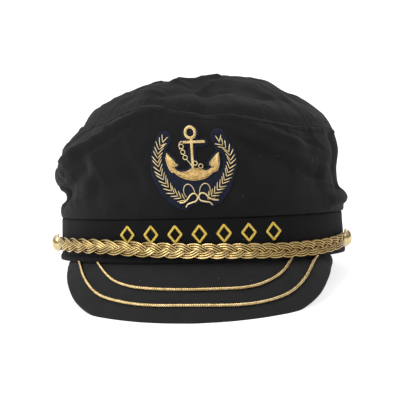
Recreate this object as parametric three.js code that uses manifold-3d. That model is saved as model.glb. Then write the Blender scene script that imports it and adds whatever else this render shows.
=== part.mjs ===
// A captain's cap: a soft black cotton crown on a stiff band, a cloth-covered peak with two gold cords
// sewn on it, a plaited gold strap held by two domed buttons, and a felt badge with a raised anchor
// between two laurel branches. The cap lies on a flat surface as it does by itself, on the front edge of
// its peak and the back of its band. Millimetres, +Z up, the front of the cap towards -Y. Azimuth 0 is
// the front, and it grows towards +X.
import * as THREE from "three";
import { mergeVertices } from "three/addons/utils/BufferGeometryUtils.js";
import Module from "manifold-3d";

// The small gap that sewn pieces keep from each other
const gap = 0.3;

// Band: a stiff oval ring with a rolled hem along its lower edge
const bandHalfWidth = 90;
const bandHalfLength = 98;
const bandHeight = 26;
const bandWall = 2.4;
const bandLean = 1.0;
const hemHeight = 3.4;
const hemProud = 0.7;

// Crown: a side wall from the band to the tip seam, and a puffed tip above it
const crownWall = 1.4;
const crownProud = 0.6;
const crownSideHeight = 62;
const tipRise = 25;
const summitRight = 13;
const summitBack = 6;

// Peak: a bent board, sewn under the front of the band
const peakThickness = 2.6;
const peakReach = 37;
const peakDrop = 29.4;
const peakEndAzimuth = 66;
const peakEndWidth = 3.0;
const peakRootInset = 1.6;
const peakCordDiameter = 1.7;

// Strap: three flat strands plaited together, from button to button
const strapEndAzimuth = 80;
const strandWidth = 3.2;
const strandThickness = 1.35;
const plaitHalfWidth = 3.25;
const plaitHalfDepth = 1.15;
const plaitPitch = 27.3;

// Buttons: domes on short shanks, which the strap's flattened ends meet under their rims
const buttonDiameter = 11.6;
const buttonDome = 3.6;
const buttonRim = 0.7;
const shankRadius = 1.2;
const strapEndFlat = 0.5;
const strapEndLength = 12;

// Badge: felt backing with a raised anchor and two branches, and its margins on the front of the crown
const badgeMarginBelow = 5.0;
const badgeMarginAbove = 6.0;
const badgeRight = 0.8;
const badgeCalmFade = 9;
const feltThickness = 1.0;
const feltMargin = 1.5;
const anchorRaise = 1.5;
const leafRaise = 0.8;
const leafWidth = 0.95;
const leafPairs = 13;

// Embroidered lozenges on the band, with their feet behind the strap
const motifCount = 7;
const motifRight = 3.2;
const motifPitch = 14.6;
const motifWidth = 9.4;
const motifHeight = 11.6;
const motifStroke = 1.6;
const motifRaise = 0.4;
const motifMarginAbove = 3.2;

// How deep the soft edges are flattened where the cap lies
const restFlat = 0.8;

// How finely curved pieces are faceted
const ringSteps = 54;
const peakSteps = 30;
const strandStepsPerPitch = 12;

// Side sections of the crown, from the band seam up to the tip seam. rise is a share of the side's
// height, and left, right, front and back are shares of the band's half width or half length.
const sideSections = [
  { rise: 0.0, left: 0.988, right: 0.998, front: 0.99, back: 0.99 },
  { rise: 0.08, left: 0.99, right: 0.998, front: 1.0, back: 1.01 },
  { rise: 0.15, left: 0.992, right: 1.01, front: 1.005, back: 1.025 },
  { rise: 0.22, left: 0.98, right: 0.99, front: 1.006, back: 1.03 },
  { rise: 0.3, left: 0.985, right: 0.962, front: 1.006, back: 1.026 },
  { rise: 0.4, left: 1.004, right: 0.954, front: 1.003, back: 1.016 },
  { rise: 0.5, left: 1.002, right: 0.955, front: 0.997, back: 1.004 },
  { rise: 0.61, left: 0.988, right: 0.96, front: 0.987, back: 0.99 },
  { rise: 0.72, left: 0.97, right: 0.963, front: 0.973, back: 0.972 },
  { rise: 0.83, left: 0.923, right: 0.957, front: 0.95, back: 0.94 },
  { rise: 0.92, left: 0.862, right: 0.945, front: 0.918, back: 0.905 },
  { rise: 1.0, left: 0.812, right: 0.935, front: 0.875, back: 0.86 },
];

// Height of the tip seam above the band at each azimuth in degrees, as a share of the side's height
const seamHeights = [
  { azimuth: -180, share: 0.85 },
  { azimuth: -135, share: 0.88 },
  { azimuth: -90, share: 0.93 },
  { azimuth: -68, share: 0.935 },
  { azimuth: -43, share: 0.99 },
  { azimuth: -20, share: 1.1 },
  { azimuth: -8, share: 1.05 },
  { azimuth: 3, share: 1.01 },
  { azimuth: 14, share: 0.985 },
  { azimuth: 30, share: 0.93 },
  { azimuth: 45, share: 0.88 },
  { azimuth: 66, share: 0.85 },
  { azimuth: 90, share: 0.83 },
  { azimuth: 135, share: 0.83 },
  { azimuth: 180, share: 0.85 },
];

// Tip sections from the summit out to the seam: radius is a share of the way out, and left and right
// are shares of the way up from the seam to the summit on either side.
const tipSections = [
  { radius: 0.0, left: 1.0, right: 1.0 },
  { radius: 0.28, left: 0.95, right: 0.955 },
  { radius: 0.5, left: 0.84, right: 0.82 },
  { radius: 0.69, left: 0.66, right: 0.6 },
  { radius: 0.83, left: 0.45, right: 0.385 },
  { radius: 0.94, left: 0.25, right: 0.19 },
  { radius: 1.0, left: 0.0, right: 0.0 },
];

// Folds of the side: each runs from one azimuth and rise to another. depth is a share of the side's
// height, positive on a ridge and negative in a valley, and width is the fold's half width as a share
// of the same height.
const sideFolds = [
  { from: [6, 0.9], to: [24, 0.68], depth: -0.05, width: 0.1 },
  { from: [24, 0.68], to: [44, 0.5], depth: -0.045, width: 0.12 },
  { from: [12, 0.98], to: [44, 0.76], depth: 0.035, width: 0.13 },
  { from: [-24, 0.98], to: [-62, 0.62], depth: 0.03, width: 0.12 },
  { from: [-94, 0.19], to: [-72, 0.24], depth: -0.05, width: 0.08 },
  { from: [-72, 0.24], to: [-50, 0.5], depth: -0.055, width: 0.13 },
  { from: [-42, 0.33], to: [-22, 0.35], depth: -0.05, width: 0.12 },
  { from: [-86, 0.46], to: [-58, 0.66], depth: 0.035, width: 0.14 },
  { from: [76, 0.86], to: [84, 0.34], depth: -0.04, width: 0.1 },
  { from: [88, 0.2], to: [66, 0.1], depth: 0.035, width: 0.09 },
  { from: [118, 0.2], to: [140, 0.62], depth: -0.06, width: 0.13 },
  { from: [160, 0.3], to: [196, 0.24], depth: -0.05, width: 0.12 },
  { from: [214, 0.28], to: [232, 0.74], depth: -0.06, width: 0.12 },
  { from: [168, 0.62], to: [206, 0.7], depth: 0.035, width: 0.14 },
];

// Folds of the tip: each runs between two points in plan, as shares of the band's half width and half
// length. depth and width are shares of the tip's rise.
const tipFolds = [
  { from: [-0.66, -0.34], to: [-0.3, -0.72], depth: 0.1, width: 0.3 },
  { from: [-0.62, -0.2], to: [-0.2, -0.52], depth: -0.12, width: 0.28 },
  { from: [-0.3, -0.62], to: [0.14, -0.36], depth: 0.1, width: 0.22 },
  { from: [0.06, -0.62], to: [0.42, -0.5], depth: -0.12, width: 0.34 },
  { from: [0.66, -0.2], to: [0.56, 0.3], depth: -0.1, width: 0.34 },
  { from: [-0.1, 0.16], to: [0.3, 0.44], depth: -0.12, width: 0.36 },
  { from: [-0.5, 0.3], to: [-0.22, 0.56], depth: -0.1, width: 0.34 },
];

// The peak's outer edge at each azimuth, as shares of its reach forward and its drop
const peakEdge = [
  { azimuth: 0, reach: 1.0, drop: 1.0 },
  { azimuth: 12, reach: 0.945, drop: 0.985 },
  { azimuth: 22, reach: 0.86, drop: 0.945 },
  { azimuth: 31, reach: 0.765, drop: 0.845 },
  { azimuth: 40, reach: 0.61, drop: 0.6 },
  { azimuth: 49, reach: 0.385, drop: 0.29 },
  { azimuth: 58, reach: 0.15, drop: 0.08 },
  { azimuth: 66, reach: 0.0, drop: 0.0 },
];

// Each sewn cord's way across the peak, as the share of the way from the root to the edge
const peakCords = [
  {
    name: "peak_cord_inner",
    route: [
      { azimuth: -40, share: 0.12 },
      { azimuth: -36, share: 0.22 },
      { azimuth: -29, share: 0.36 },
      { azimuth: -21, share: 0.445 },
      { azimuth: -10, share: 0.48 },
      { azimuth: 8, share: 0.495 },
      { azimuth: 16, share: 0.495 },
      { azimuth: 22, share: 0.455 },
      { azimuth: 29, share: 0.35 },
      { azimuth: 34, share: 0.23 },
      { azimuth: 37, share: 0.12 },
    ],
  },
  {
    name: "peak_cord_outer",
    route: [
      { azimuth: -52, share: 0.24 },
      { azimuth: -47, share: 0.4 },
      { azimuth: -41, share: 0.53 },
      { azimuth: -34, share: 0.64 },
      { azimuth: -25, share: 0.7 },
      { azimuth: -14, share: 0.74 },
      { azimuth: 0, share: 0.745 },
      { azimuth: 14, share: 0.77 },
      { azimuth: 24, share: 0.74 },
      { azimuth: 34, share: 0.645 },
      { azimuth: 41, share: 0.51 },
      { azimuth: 46, share: 0.37 },
      { azimuth: 49.5, share: 0.24 },
    ],
  },
];

// Height of the strap's middle line above the band's lower edge, as a share of the band's height. turn
// is the azimuth as a share of the strap's end azimuth.
const strapLine = [
  { turn: -1, height: 0.4 },
  { turn: -0.5, height: 0.39 },
  { turn: -0.24, height: 0.325 },
  { turn: 0, height: 0.27 },
  { turn: 0.24, height: 0.235 },
  { turn: 0.45, height: 0.21 },
  { turn: 0.7, height: 0.235 },
  { turn: 1, height: 0.345 },
];

// The badge's design, as shares of its height, from its middle: x to the right and y up
const badgeDesign = {
  feltHalfWidth: 0.485,
  feltHalfHeight: 0.515,
  feltOpensAt: 6,
  feltNotch: { at: [0.02, -0.53], radius: 0.08 },
  armOuter: 0.062,
  armInner: 0.095,
  armTop: 0.078,
  leafLength: 0.074,
  leafAngle: 36,
  ringAt: [-0.027, 0.392],
  ringRadius: 0.064,
  barHalf: 0.018,
  stock: [
    [-0.138, 0.276],
    [0.14, 0.3],
  ],
  shank: [
    [-0.015, 0.32],
    [0.004, -0.08],
  ],
  crescent: [
    [-0.301, 0.149],
    [-0.309, 0.046],
    [-0.294, -0.044],
    [-0.244, -0.085],
    [-0.182, -0.12],
    [-0.092, -0.15],
    [-0.003, -0.156],
    [0.087, -0.146],
    [0.164, -0.115],
    [0.228, -0.069],
    [0.291, -0.042],
    [0.313, 0.085],
    [0.3, 0.18],
    [0.185, 0.041],
    [0.222, -0.012],
    [0.145, -0.037],
    [-0.032, -0.024],
    [-0.112, -0.055],
    [-0.208, -0.051],
    [-0.168, 0.006],
  ],
};

// The stem of each branch, from its foot to its top. out is from the middle of the badge and above is up
// from it, both in shares of the badge's height.
const branchStem = [
  { along: 0, out: 0.142, above: -0.368 },
  { along: 0.29, out: 0.33, above: -0.21 },
  { along: 0.555, out: 0.424, above: -0.006 },
  { along: 0.785, out: 0.392, above: 0.187 },
  { along: 1, out: 0.3, above: 0.345 },
];

const up = new THREE.Vector3(0, 0, 1);
const wasm = await Module();
wasm.setup();

const clothBlack = new THREE.MeshStandardMaterial({ color: 0x18181a, roughness: 0.92, metalness: 0 });
const gimpGold = new THREE.MeshStandardMaterial({ color: 0xb8944a, roughness: 0.35, metalness: 1 });
const buttonGold = new THREE.MeshStandardMaterial({ color: 0xd8b46a, roughness: 0.2, metalness: 1 });
const feltNavy = new THREE.MeshStandardMaterial({ color: 0x1c2036, roughness: 0.95, metalness: 0 });
const threadYellow = new THREE.MeshStandardMaterial({ color: 0xd9b53a, roughness: 0.45, metalness: 0.1 });

const radians = (degrees) => (degrees * Math.PI) / 180;
const degreesOf = (angle) => (angle * 180) / Math.PI;
const mix = (a, b, share) => a + (b - a) * share;
const ease = (share) => {
  const s = Math.min(1, Math.max(0, share));
  return s * s * (3 - 2 * s);
};

// Reads a table's column at a place along its key column, on a smooth curve through its rows
function readTable(table, key, at, column) {
  const last = table.length - 1;
  let row = 0;
  while (row < last - 1 && at > table[row + 1][key]) row += 1;
  const value = (i) => table[Math.min(last, Math.max(0, i))];
  const slope = (i) => {
    const before = value(i - 1);
    const after = value(i + 1);
    return (after[column] - before[column]) / (after[key] - before[key]);
  };
  const low = value(row);
  const high = value(row + 1);
  const span = high[key] - low[key];
  const s = Math.min(1, Math.max(0, (at - low[key]) / span));
  const bend = s * s * (3 - 2 * s);
  const leave = (s - 2 * s * s + s * s * s) * span * slope(row);
  const arrive = (s * s * s - s * s) * span * slope(row + 1);
  return mix(low[column], high[column], bend) + leave + arrive;
}

// A number that changes with azimuth, wrapped into -180 to 180 degrees
const wrapped = (degrees) => ((((degrees + 180) % 360) + 360) % 360) - 180;

// The band's outer outline at an azimuth and a height, moved outwards by some distance
function bandPoint(azimuth, height, outwards) {
  const lean = (bandLean * height) / bandHeight;
  const point = new THREE.Vector3(
    (bandHalfWidth - lean) * Math.sin(azimuth),
    -(bandHalfLength - lean) * Math.cos(azimuth),
    height,
  );
  return point.addScaledVector(bandNormal(azimuth), outwards);
}

function bandNormal(azimuth) {
  return new THREE.Vector3(
    bandHalfLength * Math.sin(azimuth),
    -bandHalfWidth * Math.cos(azimuth),
    0,
  ).normalize();
}

// How far a fold moves the surface at a place that lies some distance from its line
const foldShape = (distance, width) => Math.exp(-((distance / width) ** 2));

function distanceToLine(x, y, from, to) {
  const alongX = to[0] - from[0];
  const alongY = to[1] - from[1];
  const share = ((x - from[0]) * alongX + (y - from[1]) * alongY) / (alongX ** 2 + alongY ** 2);
  const s = Math.min(1, Math.max(0, share));
  return Math.hypot(x - from[0] - s * alongX, y - from[1] - s * alongY);
}

// The folds' height over the plain side. They fade out at the band seam and under the badge.
function sideFoldHeight(azimuth, rise) {
  const girth = radians(1) * bandHalfWidth;
  const turn = wrapped(degreesOf(azimuth));
  let sum = 0;
  for (const fold of sideFolds) {
    const middle = (fold.from[0] + fold.to[0]) / 2;
    const here = middle + wrapped(turn - middle);
    const distance = distanceToLine(
      here * girth,
      rise * crownSideHeight,
      [fold.from[0] * girth, fold.from[1] * crownSideHeight],
      [fold.to[0] * girth, fold.to[1] * crownSideHeight],
    );
    sum += fold.depth * crownSideHeight * foldShape(distance, fold.width * crownSideHeight);
  }
  const offBand = ease(rise / 0.12);
  const offBadge = ease((Math.abs(turn) - badgeCalmAzimuth()) / badgeCalmFade);
  const aboveBadge = ease((rise - badgeTopRise()) / (1 - badgeTopRise()));
  return sum * offBand * Math.max(offBadge, aboveBadge);
}

// The crown's side without its folds. rise runs from 0 at the band seam to 1 at the tip seam.
function plainSidePoint(azimuth, rise) {
  const read = (column) => readTable(sideSections, "rise", rise, column);
  const across = Math.sin(azimuth) < 0 ? read("left") : read("right");
  const along = Math.cos(azimuth) > 0 ? read("front") : read("back");
  const seam = readTable(seamHeights, "azimuth", wrapped(degreesOf(azimuth)), "share");
  return new THREE.Vector3(
    (bandHalfWidth * across + crownProud) * Math.sin(azimuth),
    -(bandHalfLength * along + crownProud) * Math.cos(azimuth),
    bandHeight + gap + rise * seam * crownSideHeight,
  );
}

function normalOf(surface, azimuth, share, stepShare) {
  const stepTurn = 0.01;
  const alongTurn = surface(azimuth + stepTurn, share).sub(surface(azimuth - stepTurn, share));
  const alongShare = surface(azimuth, share + stepShare).sub(surface(azimuth, share - stepShare));
  return alongTurn.cross(alongShare).normalize();
}

const shareStep = 0.01;
const plainSideNormal = (azimuth, rise) =>
  normalOf(plainSidePoint, azimuth, Math.min(1 - shareStep, Math.max(shareStep, rise)), shareStep);

function sidePoint(azimuth, rise) {
  const point = plainSidePoint(azimuth, rise);
  return point.addScaledVector(plainSideNormal(azimuth, rise), sideFoldHeight(azimuth, rise));
}

function summitPoint() {
  return new THREE.Vector3(summitRight, summitBack, bandHeight + gap + crownSideHeight + tipRise);
}

// The crown's tip, from radius 1 at the tip seam to 0 at the summit
function tipPoint(azimuth, radius) {
  const seam = sidePoint(azimuth, 1);
  const summit = summitPoint();
  const rightShare = (1 + Math.sin(azimuth)) / 2;
  const lift = mix(
    readTable(tipSections, "radius", radius, "left"),
    readTable(tipSections, "radius", radius, "right"),
    rightShare,
  );
  const point = new THREE.Vector3(
    mix(summit.x, seam.x, radius),
    mix(summit.y, seam.y, radius),
    mix(seam.z, summit.z, lift),
  );
  const edgeFade = ease((1 - radius) / 0.25);
  for (const fold of tipFolds) {
    const distance = distanceToLine(
      point.x,
      point.y,
      [fold.from[0] * bandHalfWidth, fold.from[1] * bandHalfLength],
      [fold.to[0] * bandHalfWidth, fold.to[1] * bandHalfLength],
    );
    point.z += fold.depth * tipRise * foldShape(distance, fold.width * tipRise) * edgeFade;
  }
  return point;
}

// Faces of a grid of points, given as rows. Each row may close on itself.
function gridFaces(rows, columns, closed, index, faces) {
  const last = closed ? columns : columns - 1;
  for (let row = 0; row < rows - 1; row += 1) {
    for (let column = 0; column < last; column += 1) {
      const next = (column + 1) % columns;
      const a = index(row, column);
      const b = index(row, next);
      const c = index(row + 1, next);
      const d = index(row + 1, column);
      faces.push(a, b, c, a, c, d);
    }
  }
}

function geometryFrom(points, faces) {
  const geometry = new THREE.BufferGeometry();
  geometry.setAttribute(
    "position",
    new THREE.Float32BufferAttribute(
      points.flatMap((p) => [p.x, p.y, p.z]),
      3,
    ),
  );
  geometry.setIndex(faces);
  geometry.computeVertexNormals();
  return geometry;
}

// A closed ring made of sections, each a loop of points in order round the section
function loopedSections(sections, ringCloses) {
  const count = sections[0].length;
  const points = sections.flat();
  const faces = [];
  const rows = ringCloses ? sections.length + 1 : sections.length;
  const index = (row, column) => (row % sections.length) * count + ((count - column) % count);
  gridFaces(rows, count, true, index, faces);
  if (!ringCloses) {
    const last = (sections.length - 1) * count;
    for (let i = 1; i < count - 1; i += 1) {
      faces.push(0, i, i + 1);
      faces.push(last, last + i + 1, last + i);
    }
  }
  return geometryFrom(points, faces);
}

// A geometry as a solid for joining and cutting, and back
function toSolid(geometry) {
  const bare = geometry.clone();
  for (const name of Object.keys(bare.attributes)) {
    if (name !== "position") bare.deleteAttribute(name);
  }
  const merged = mergeVertices(bare, 1e-4);
  const mesh = new wasm.Mesh({
    numProp: 3,
    vertProperties: new Float32Array(merged.attributes.position.array),
    triVerts: new Uint32Array(merged.index.array),
  });
  return new wasm.Manifold(mesh);
}

function toGeometry(solid) {
  const mesh = solid.getMesh();
  const geometry = new THREE.BufferGeometry();
  geometry.setAttribute("position", new THREE.BufferAttribute(new Float32Array(mesh.vertProperties), 3));
  geometry.setIndex(new THREE.BufferAttribute(new Uint32Array(mesh.triVerts), 1));
  geometry.computeVertexNormals();
  return geometry;
}

// The band: one profile carried round the oval, with the hem standing proud along its lower edge
function bandGeometry() {
  const profile = [
    { height: 0, outwards: hemProud * 0.4 },
    { height: hemHeight * 0.25, outwards: hemProud },
    { height: hemHeight, outwards: hemProud },
    { height: hemHeight + hemProud, outwards: 0 },
    { height: bandHeight, outwards: 0 },
    { height: bandHeight, outwards: -bandWall },
    { height: 0, outwards: -bandWall },
  ];
  const sections = [];
  for (let step = 0; step < ringSteps; step += 1) {
    const azimuth = (step / ringSteps) * 2 * Math.PI;
    sections.push(profile.map((p) => bandPoint(azimuth, p.height, p.outwards)));
  }
  return loopedSections(sections, true);
}

// The direction of both rims at the tip seam, so that the side and the tip meet there face to face
function seamInwards(azimuth) {
  const side = plainSideNormal(azimuth, 1);
  return side.add(up).normalize().negate();
}

// The direction across the seam, from the side's rim to the tip's
function seamAcross(azimuth) {
  const stepTurn = 0.01;
  const along = sidePoint(azimuth + stepTurn, 1).sub(sidePoint(azimuth - stepTurn, 1));
  return along.cross(seamInwards(azimuth)).normalize();
}

// The crown's side as one closed wall, its outer face upwards and its inner face back down
function crownSideGeometry() {
  const sections = [];
  for (let step = 0; step < ringSteps; step += 1) {
    const azimuth = (step / ringSteps) * 2 * Math.PI;
    const outer = [];
    const inner = [];
    for (const { rise } of sideSections) {
      const point = sidePoint(azimuth, rise);
      let inwards = plainSideNormal(azimuth, rise).negate();
      if (rise === 0) inwards = bandNormal(azimuth).negate();
      if (rise === 1) inwards = seamInwards(azimuth);
      outer.push(point);
      inner.unshift(point.clone().addScaledVector(inwards, crownWall));
    }
    sections.push([...outer, ...inner]);
  }
  return loopedSections(sections, true);
}

function crownTipGeometry() {
  const rings = tipSections.slice(1).reverse();
  const outerRings = [];
  const innerRings = [];
  for (const { radius } of rings) {
    const outer = [];
    const inner = [];
    for (let step = 0; step < ringSteps; step += 1) {
      const azimuth = (step / ringSteps) * 2 * Math.PI;
      const onSeam = radius === 1;
      const inwards = onSeam
        ? seamInwards(azimuth)
        : normalOf(tipPoint, azimuth, radius, -shareStep).negate();
      const point = onSeam
        ? sidePoint(azimuth, 1).addScaledVector(seamAcross(azimuth), gap)
        : tipPoint(azimuth, radius);
      outer.push(point);
      inner.push(point.clone().addScaledVector(inwards, crownWall));
    }
    outerRings.push(outer);
    innerRings.push(inner);
  }
  const summit = tipPoint(0, 0);
  const points = [...outerRings.flat(), ...innerRings.flat()];
  const top = points.push(summit) - 1;
  const under = points.push(summit.clone().addScaledVector(up, -crownWall)) - 1;
  const faces = [];
  const inside = outerRings.length * ringSteps;
  gridFaces(outerRings.length, ringSteps, true, (row, column) => row * ringSteps + column, faces);
  gridFaces(
    innerRings.length,
    ringSteps,
    true,
    (row, column) => inside + row * ringSteps + ((ringSteps - column) % ringSteps),
    faces,
  );
  const lastOuter = (outerRings.length - 1) * ringSteps;
  for (let step = 0; step < ringSteps; step += 1) {
    const next = (step + 1) % ringSteps;
    faces.push(lastOuter + step, lastOuter + next, top);
    faces.push(inside + lastOuter + next, inside + lastOuter + step, under);
    faces.push(inside + step, inside + next, next, inside + step, next, step);
  }
  return geometryFrom(points, faces);
}

// The peak's upper face, from share 0 at the root under the band to 1 at the outer edge
function peakPoint(azimuth, share) {
  const turn = (Math.abs(degreesOf(azimuth)) * peakEdge.at(-1).azimuth) / peakEndAzimuth;
  const reach = peakReach * readTable(peakEdge, "azimuth", turn, "reach") + peakEndWidth * 0.5;
  const drop = peakDrop * readTable(peakEdge, "azimuth", turn, "drop") + peakEndWidth;
  const bow = 0.12 * share * (1 - share);
  const root = bandPoint(azimuth, 0, -peakRootInset);
  return root
    .addScaledVector(bandNormal(azimuth), reach * share)
    .addScaledVector(up, -gap - drop * (share - bow));
}

const peakNormal = (azimuth, share) =>
  normalOf(peakPoint, azimuth, Math.min(1 - shareStep, Math.max(shareStep, share)), -shareStep);

function peakGeometry() {
  const shares = [0, 0.25, 0.5, 0.75, 0.97];
  const sections = [];
  for (let step = 0; step <= peakSteps; step += 1) {
    const azimuth = radians(mix(-peakEndAzimuth, peakEndAzimuth, step / peakSteps));
    const upper = [];
    const lower = [];
    for (const share of shares) {
      const point = peakPoint(azimuth, share);
      upper.unshift(point);
      lower.push(point.clone().addScaledVector(peakNormal(azimuth, share), -peakThickness));
    }
    const nose = peakPoint(azimuth, 1).addScaledVector(peakNormal(azimuth, 1), -peakThickness / 2);
    sections.push([...upper, ...lower, nose]);
  }
  return loopedSections(sections, false);
}

// A rod of even section carried along a line of points, with its own outward direction at each point
function rodGeometry(line, outwards, section) {
  const sections = line.map((point, i) => {
    const before = line[Math.max(0, i - 1)];
    const after = line[Math.min(line.length - 1, i + 1)];
    const along = after.clone().sub(before).normalize();
    const side = outwards[i].clone().cross(along).normalize();
    const out = along.clone().cross(side).normalize();
    return section.map(([x, y]) => point.clone().addScaledVector(side, x).addScaledVector(out, y));
  });
  return loopedSections(sections, false);
}

const roundSection = (radius, sides) =>
  Array.from({ length: sides }, (_, i) => {
    const turn = (i / sides) * 2 * Math.PI;
    return [radius * Math.cos(turn), -radius * Math.sin(turn)];
  });

function peakCordGeometry({ route }) {
  const steps = 32;
  const radius = peakCordDiameter / 2;
  const line = [];
  const outwards = [];
  for (let step = 0; step <= steps; step += 1) {
    const turn = mix(route[0].azimuth, route.at(-1).azimuth, step / steps);
    const azimuth = radians((turn * peakEndAzimuth) / peakEdge.at(-1).azimuth);
    const share = readTable(route, "azimuth", turn, "share");
    const normal = peakNormal(azimuth, share);
    line.push(peakPoint(azimuth, share).addScaledVector(normal, radius + gap));
    outwards.push(normal);
  }
  return rodGeometry(line, outwards, roundSection(radius, 5));
}

// The strap's middle line lies against the band, and each strand swings across it and in and out of it
const strapDepth = plaitHalfDepth + strandThickness / 2;
const strapHeight = (turn) => bandHeight * readTable(strapLine, "turn", turn, "height");

function strapLength(azimuth) {
  const steps = 60;
  let length = 0;
  let before = bandPoint(0, 0, strapDepth);
  for (let step = 1; step <= steps; step += 1) {
    const here = bandPoint((azimuth * step) / steps, 0, strapDepth);
    length += here.distanceTo(before);
    before = here;
  }
  return length;
}

function strandGeometry(phase) {
  const shankAngle = (shankRadius + gap + strandThickness) / bandHalfLength;
  const end = radians(strapEndAzimuth) - shankAngle;
  const half = strapLength(end);
  const steps = Math.round(((2 * half) / plaitPitch) * strandStepsPerPitch);
  const sections = [];
  for (let step = 0; step <= steps; step += 1) {
    const azimuth = mix(-end, end, step / steps);
    const along = mix(-half, half, step / steps);
    const fromEnd = ease((half - Math.abs(along)) / strapEndLength);
    const flat = mix(strapEndFlat, 1, fromEnd);
    const turn = (along / plaitPitch) * 2 * Math.PI + phase;
    const across = plaitHalfWidth * Math.cos(turn);
    const overHem = hemProud * fromEnd;
    const out = gap + overHem + flat * (strapDepth + plaitHalfDepth * Math.sin(2 * turn));
    const height = strapHeight(azimuth / radians(strapEndAzimuth)) + across;
    const point = bandPoint(azimuth, height, out);
    const outwards = bandNormal(azimuth);
    const halfThickness = (flat * strandThickness) / 2;
    sections.push([
      point.clone().addScaledVector(up, -strandWidth / 2),
      point.clone().addScaledVector(outwards, halfThickness),
      point.clone().addScaledVector(up, strandWidth / 2),
      point.clone().addScaledVector(outwards, -halfThickness),
    ]);
  }
  return loopedSections(sections, false);
}

// A button: a dome with a rim, on a shank that stands on the band through the strap's end
function buttonGeometry() {
  const back = gap + 2 * strapEndFlat * strapDepth;
  const radius = buttonDiameter / 2;
  const profile = [
    new THREE.Vector2(0, 0),
    new THREE.Vector2(shankRadius, 0),
    new THREE.Vector2(shankRadius, back),
    new THREE.Vector2(radius - buttonRim, back),
    new THREE.Vector2(radius, back + buttonRim / 2),
  ];
  const domeSteps = 4;
  for (let step = 0; step < domeSteps; step += 1) {
    const turn = (step / domeSteps) * (Math.PI / 2);
    const domeRadius = radius - buttonRim / 4;
    profile.push(
      new THREE.Vector2(domeRadius * Math.cos(turn), back + buttonRim + buttonDome * Math.sin(turn)),
    );
  }
  profile.push(new THREE.Vector2(0, back + buttonRim + buttonDome));
  return new THREE.LatheGeometry(profile, 18);
}

// The badge's frame on the crown: x and y run across and up from its middle, and out is off the cloth
const panelHeight = crownSideHeight * readTable(seamHeights, "azimuth", 0, "share");
const badgeHeight = panelHeight - badgeMarginBelow - badgeMarginAbove;
const badgeMiddle = badgeMarginBelow + badgeHeight / 2;

// The height and half the angle that the badge spans, where the crown lies smooth under it
const badgeTopRise = () => 1 - badgeMarginAbove / panelHeight;
function badgeCalmAzimuth() {
  const reach = badgeDesign.feltHalfWidth * badgeHeight + Math.abs(badgeRight);
  return degreesOf(Math.asin(reach / bandHalfWidth));
}

function badgePlace(x, y) {
  return {
    azimuth: Math.asin((x + badgeRight) / bandHalfWidth),
    rise: Math.min(1, Math.max(0, (badgeMiddle + y) / panelHeight)),
  };
}

function badgePoint(x, y, out) {
  const { azimuth, rise } = badgePlace(x, y);
  return plainSidePoint(azimuth, rise).addScaledVector(plainSideNormal(azimuth, rise), out);
}

// A sheet over the front of the crown, facet for facet, between two distances off the cloth
function badgeSheet(low, high) {
  const turn = (2 * Math.PI) / ringSteps;
  const reach = Math.ceil(radians(badgeCalmAzimuth()) / turn);
  const sections = [];
  for (let step = -reach; step <= reach; step += 1) {
    const at = (out) => (row) =>
      plainSidePoint(step * turn, row.rise).addScaledVector(plainSideNormal(step * turn, row.rise), out);
    sections.push([...sideSections.map(at(high)), ...sideSections.map(at(low)).reverse()]);
  }
  return toSolid(loopedSections(sections, false));
}

// A flat outline of the badge, as a prism that runs through the sheet
function badgePrism(shape) {
  const depth = badgeHeight;
  const middle = badgePoint(0, 0, 0);
  const out = plainSideNormal(badgePlace(0, 0).azimuth, badgePlace(0, 0).rise);
  const across = new THREE.Vector3(1, 0, 0).addScaledVector(out, -out.x).normalize();
  const above = out.clone().cross(across);
  const geometry = new THREE.ExtrudeGeometry(shape, { depth, bevelEnabled: false, curveSegments: 6 });
  geometry.translate(0, 0, -depth / 2);
  const basis = new THREE.Matrix4().makeBasis(across, above, out).setPosition(middle);
  return toSolid(geometry.applyMatrix4(basis));
}

const designPoint = ([x, y]) => new THREE.Vector2(x * badgeHeight, y * badgeHeight);

function discShape(at, radius) {
  const { x, y } = designPoint(at);
  return new THREE.Shape().absarc(x, y, radius, 0, 2 * Math.PI);
}

// A bar between two design points, with round ends
function barShape([from, to], half) {
  const a = designPoint(from);
  const b = designPoint(to);
  const along = Math.atan2(b.y - a.y, b.x - a.x);
  return new THREE.Shape()
    .absarc(b.x, b.y, half, along - Math.PI / 2, along + Math.PI / 2)
    .absarc(a.x, a.y, half, along + Math.PI / 2, along + (3 * Math.PI) / 2);
}

// A point on a branch's stem. side is -1 on the left and 1 on the right, and along runs from its foot
// to its top.
function branchPoint(side, along) {
  const out = readTable(branchStem, "along", along, "out");
  return [side * out, readTable(branchStem, "along", along, "above")];
}

function armShape(side) {
  const { armOuter, armInner } = badgeDesign;
  const steps = 8;
  const rim = (margin, along) => {
    const [x, y] = branchPoint(side, along - 0.01);
    const [ahead, above] = branchPoint(side, along + 0.01);
    const out = new THREE.Vector2(above - y, x - ahead).normalize().multiplyScalar(side * margin);
    return designPoint([(x + ahead) / 2 + out.x, (y + above) / 2 + out.y]);
  };
  const places = Array.from({ length: steps + 1 }, (_, i) => mix(0.02, 0.98, i / steps));
  const outer = places.map((along) => rim(armOuter, along));
  const inner = places.map((along) => rim(-armInner, along)).reverse();
  return new THREE.Shape([...outer, ...inner]);
}

// The crescent's outline, grown outwards from its middle line by a margin
function crescentShape(margin) {
  const points = badgeDesign.crescent.map(designPoint);
  const grown = points.map((point, i) => {
    const before = points[(i + points.length - 1) % points.length];
    const after = points[(i + 1) % points.length];
    const out = new THREE.Vector2(after.y - before.y, before.x - after.x).normalize();
    return point.clone().addScaledVector(out, margin);
  });
  return new THREE.Shape(grown);
}

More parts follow.
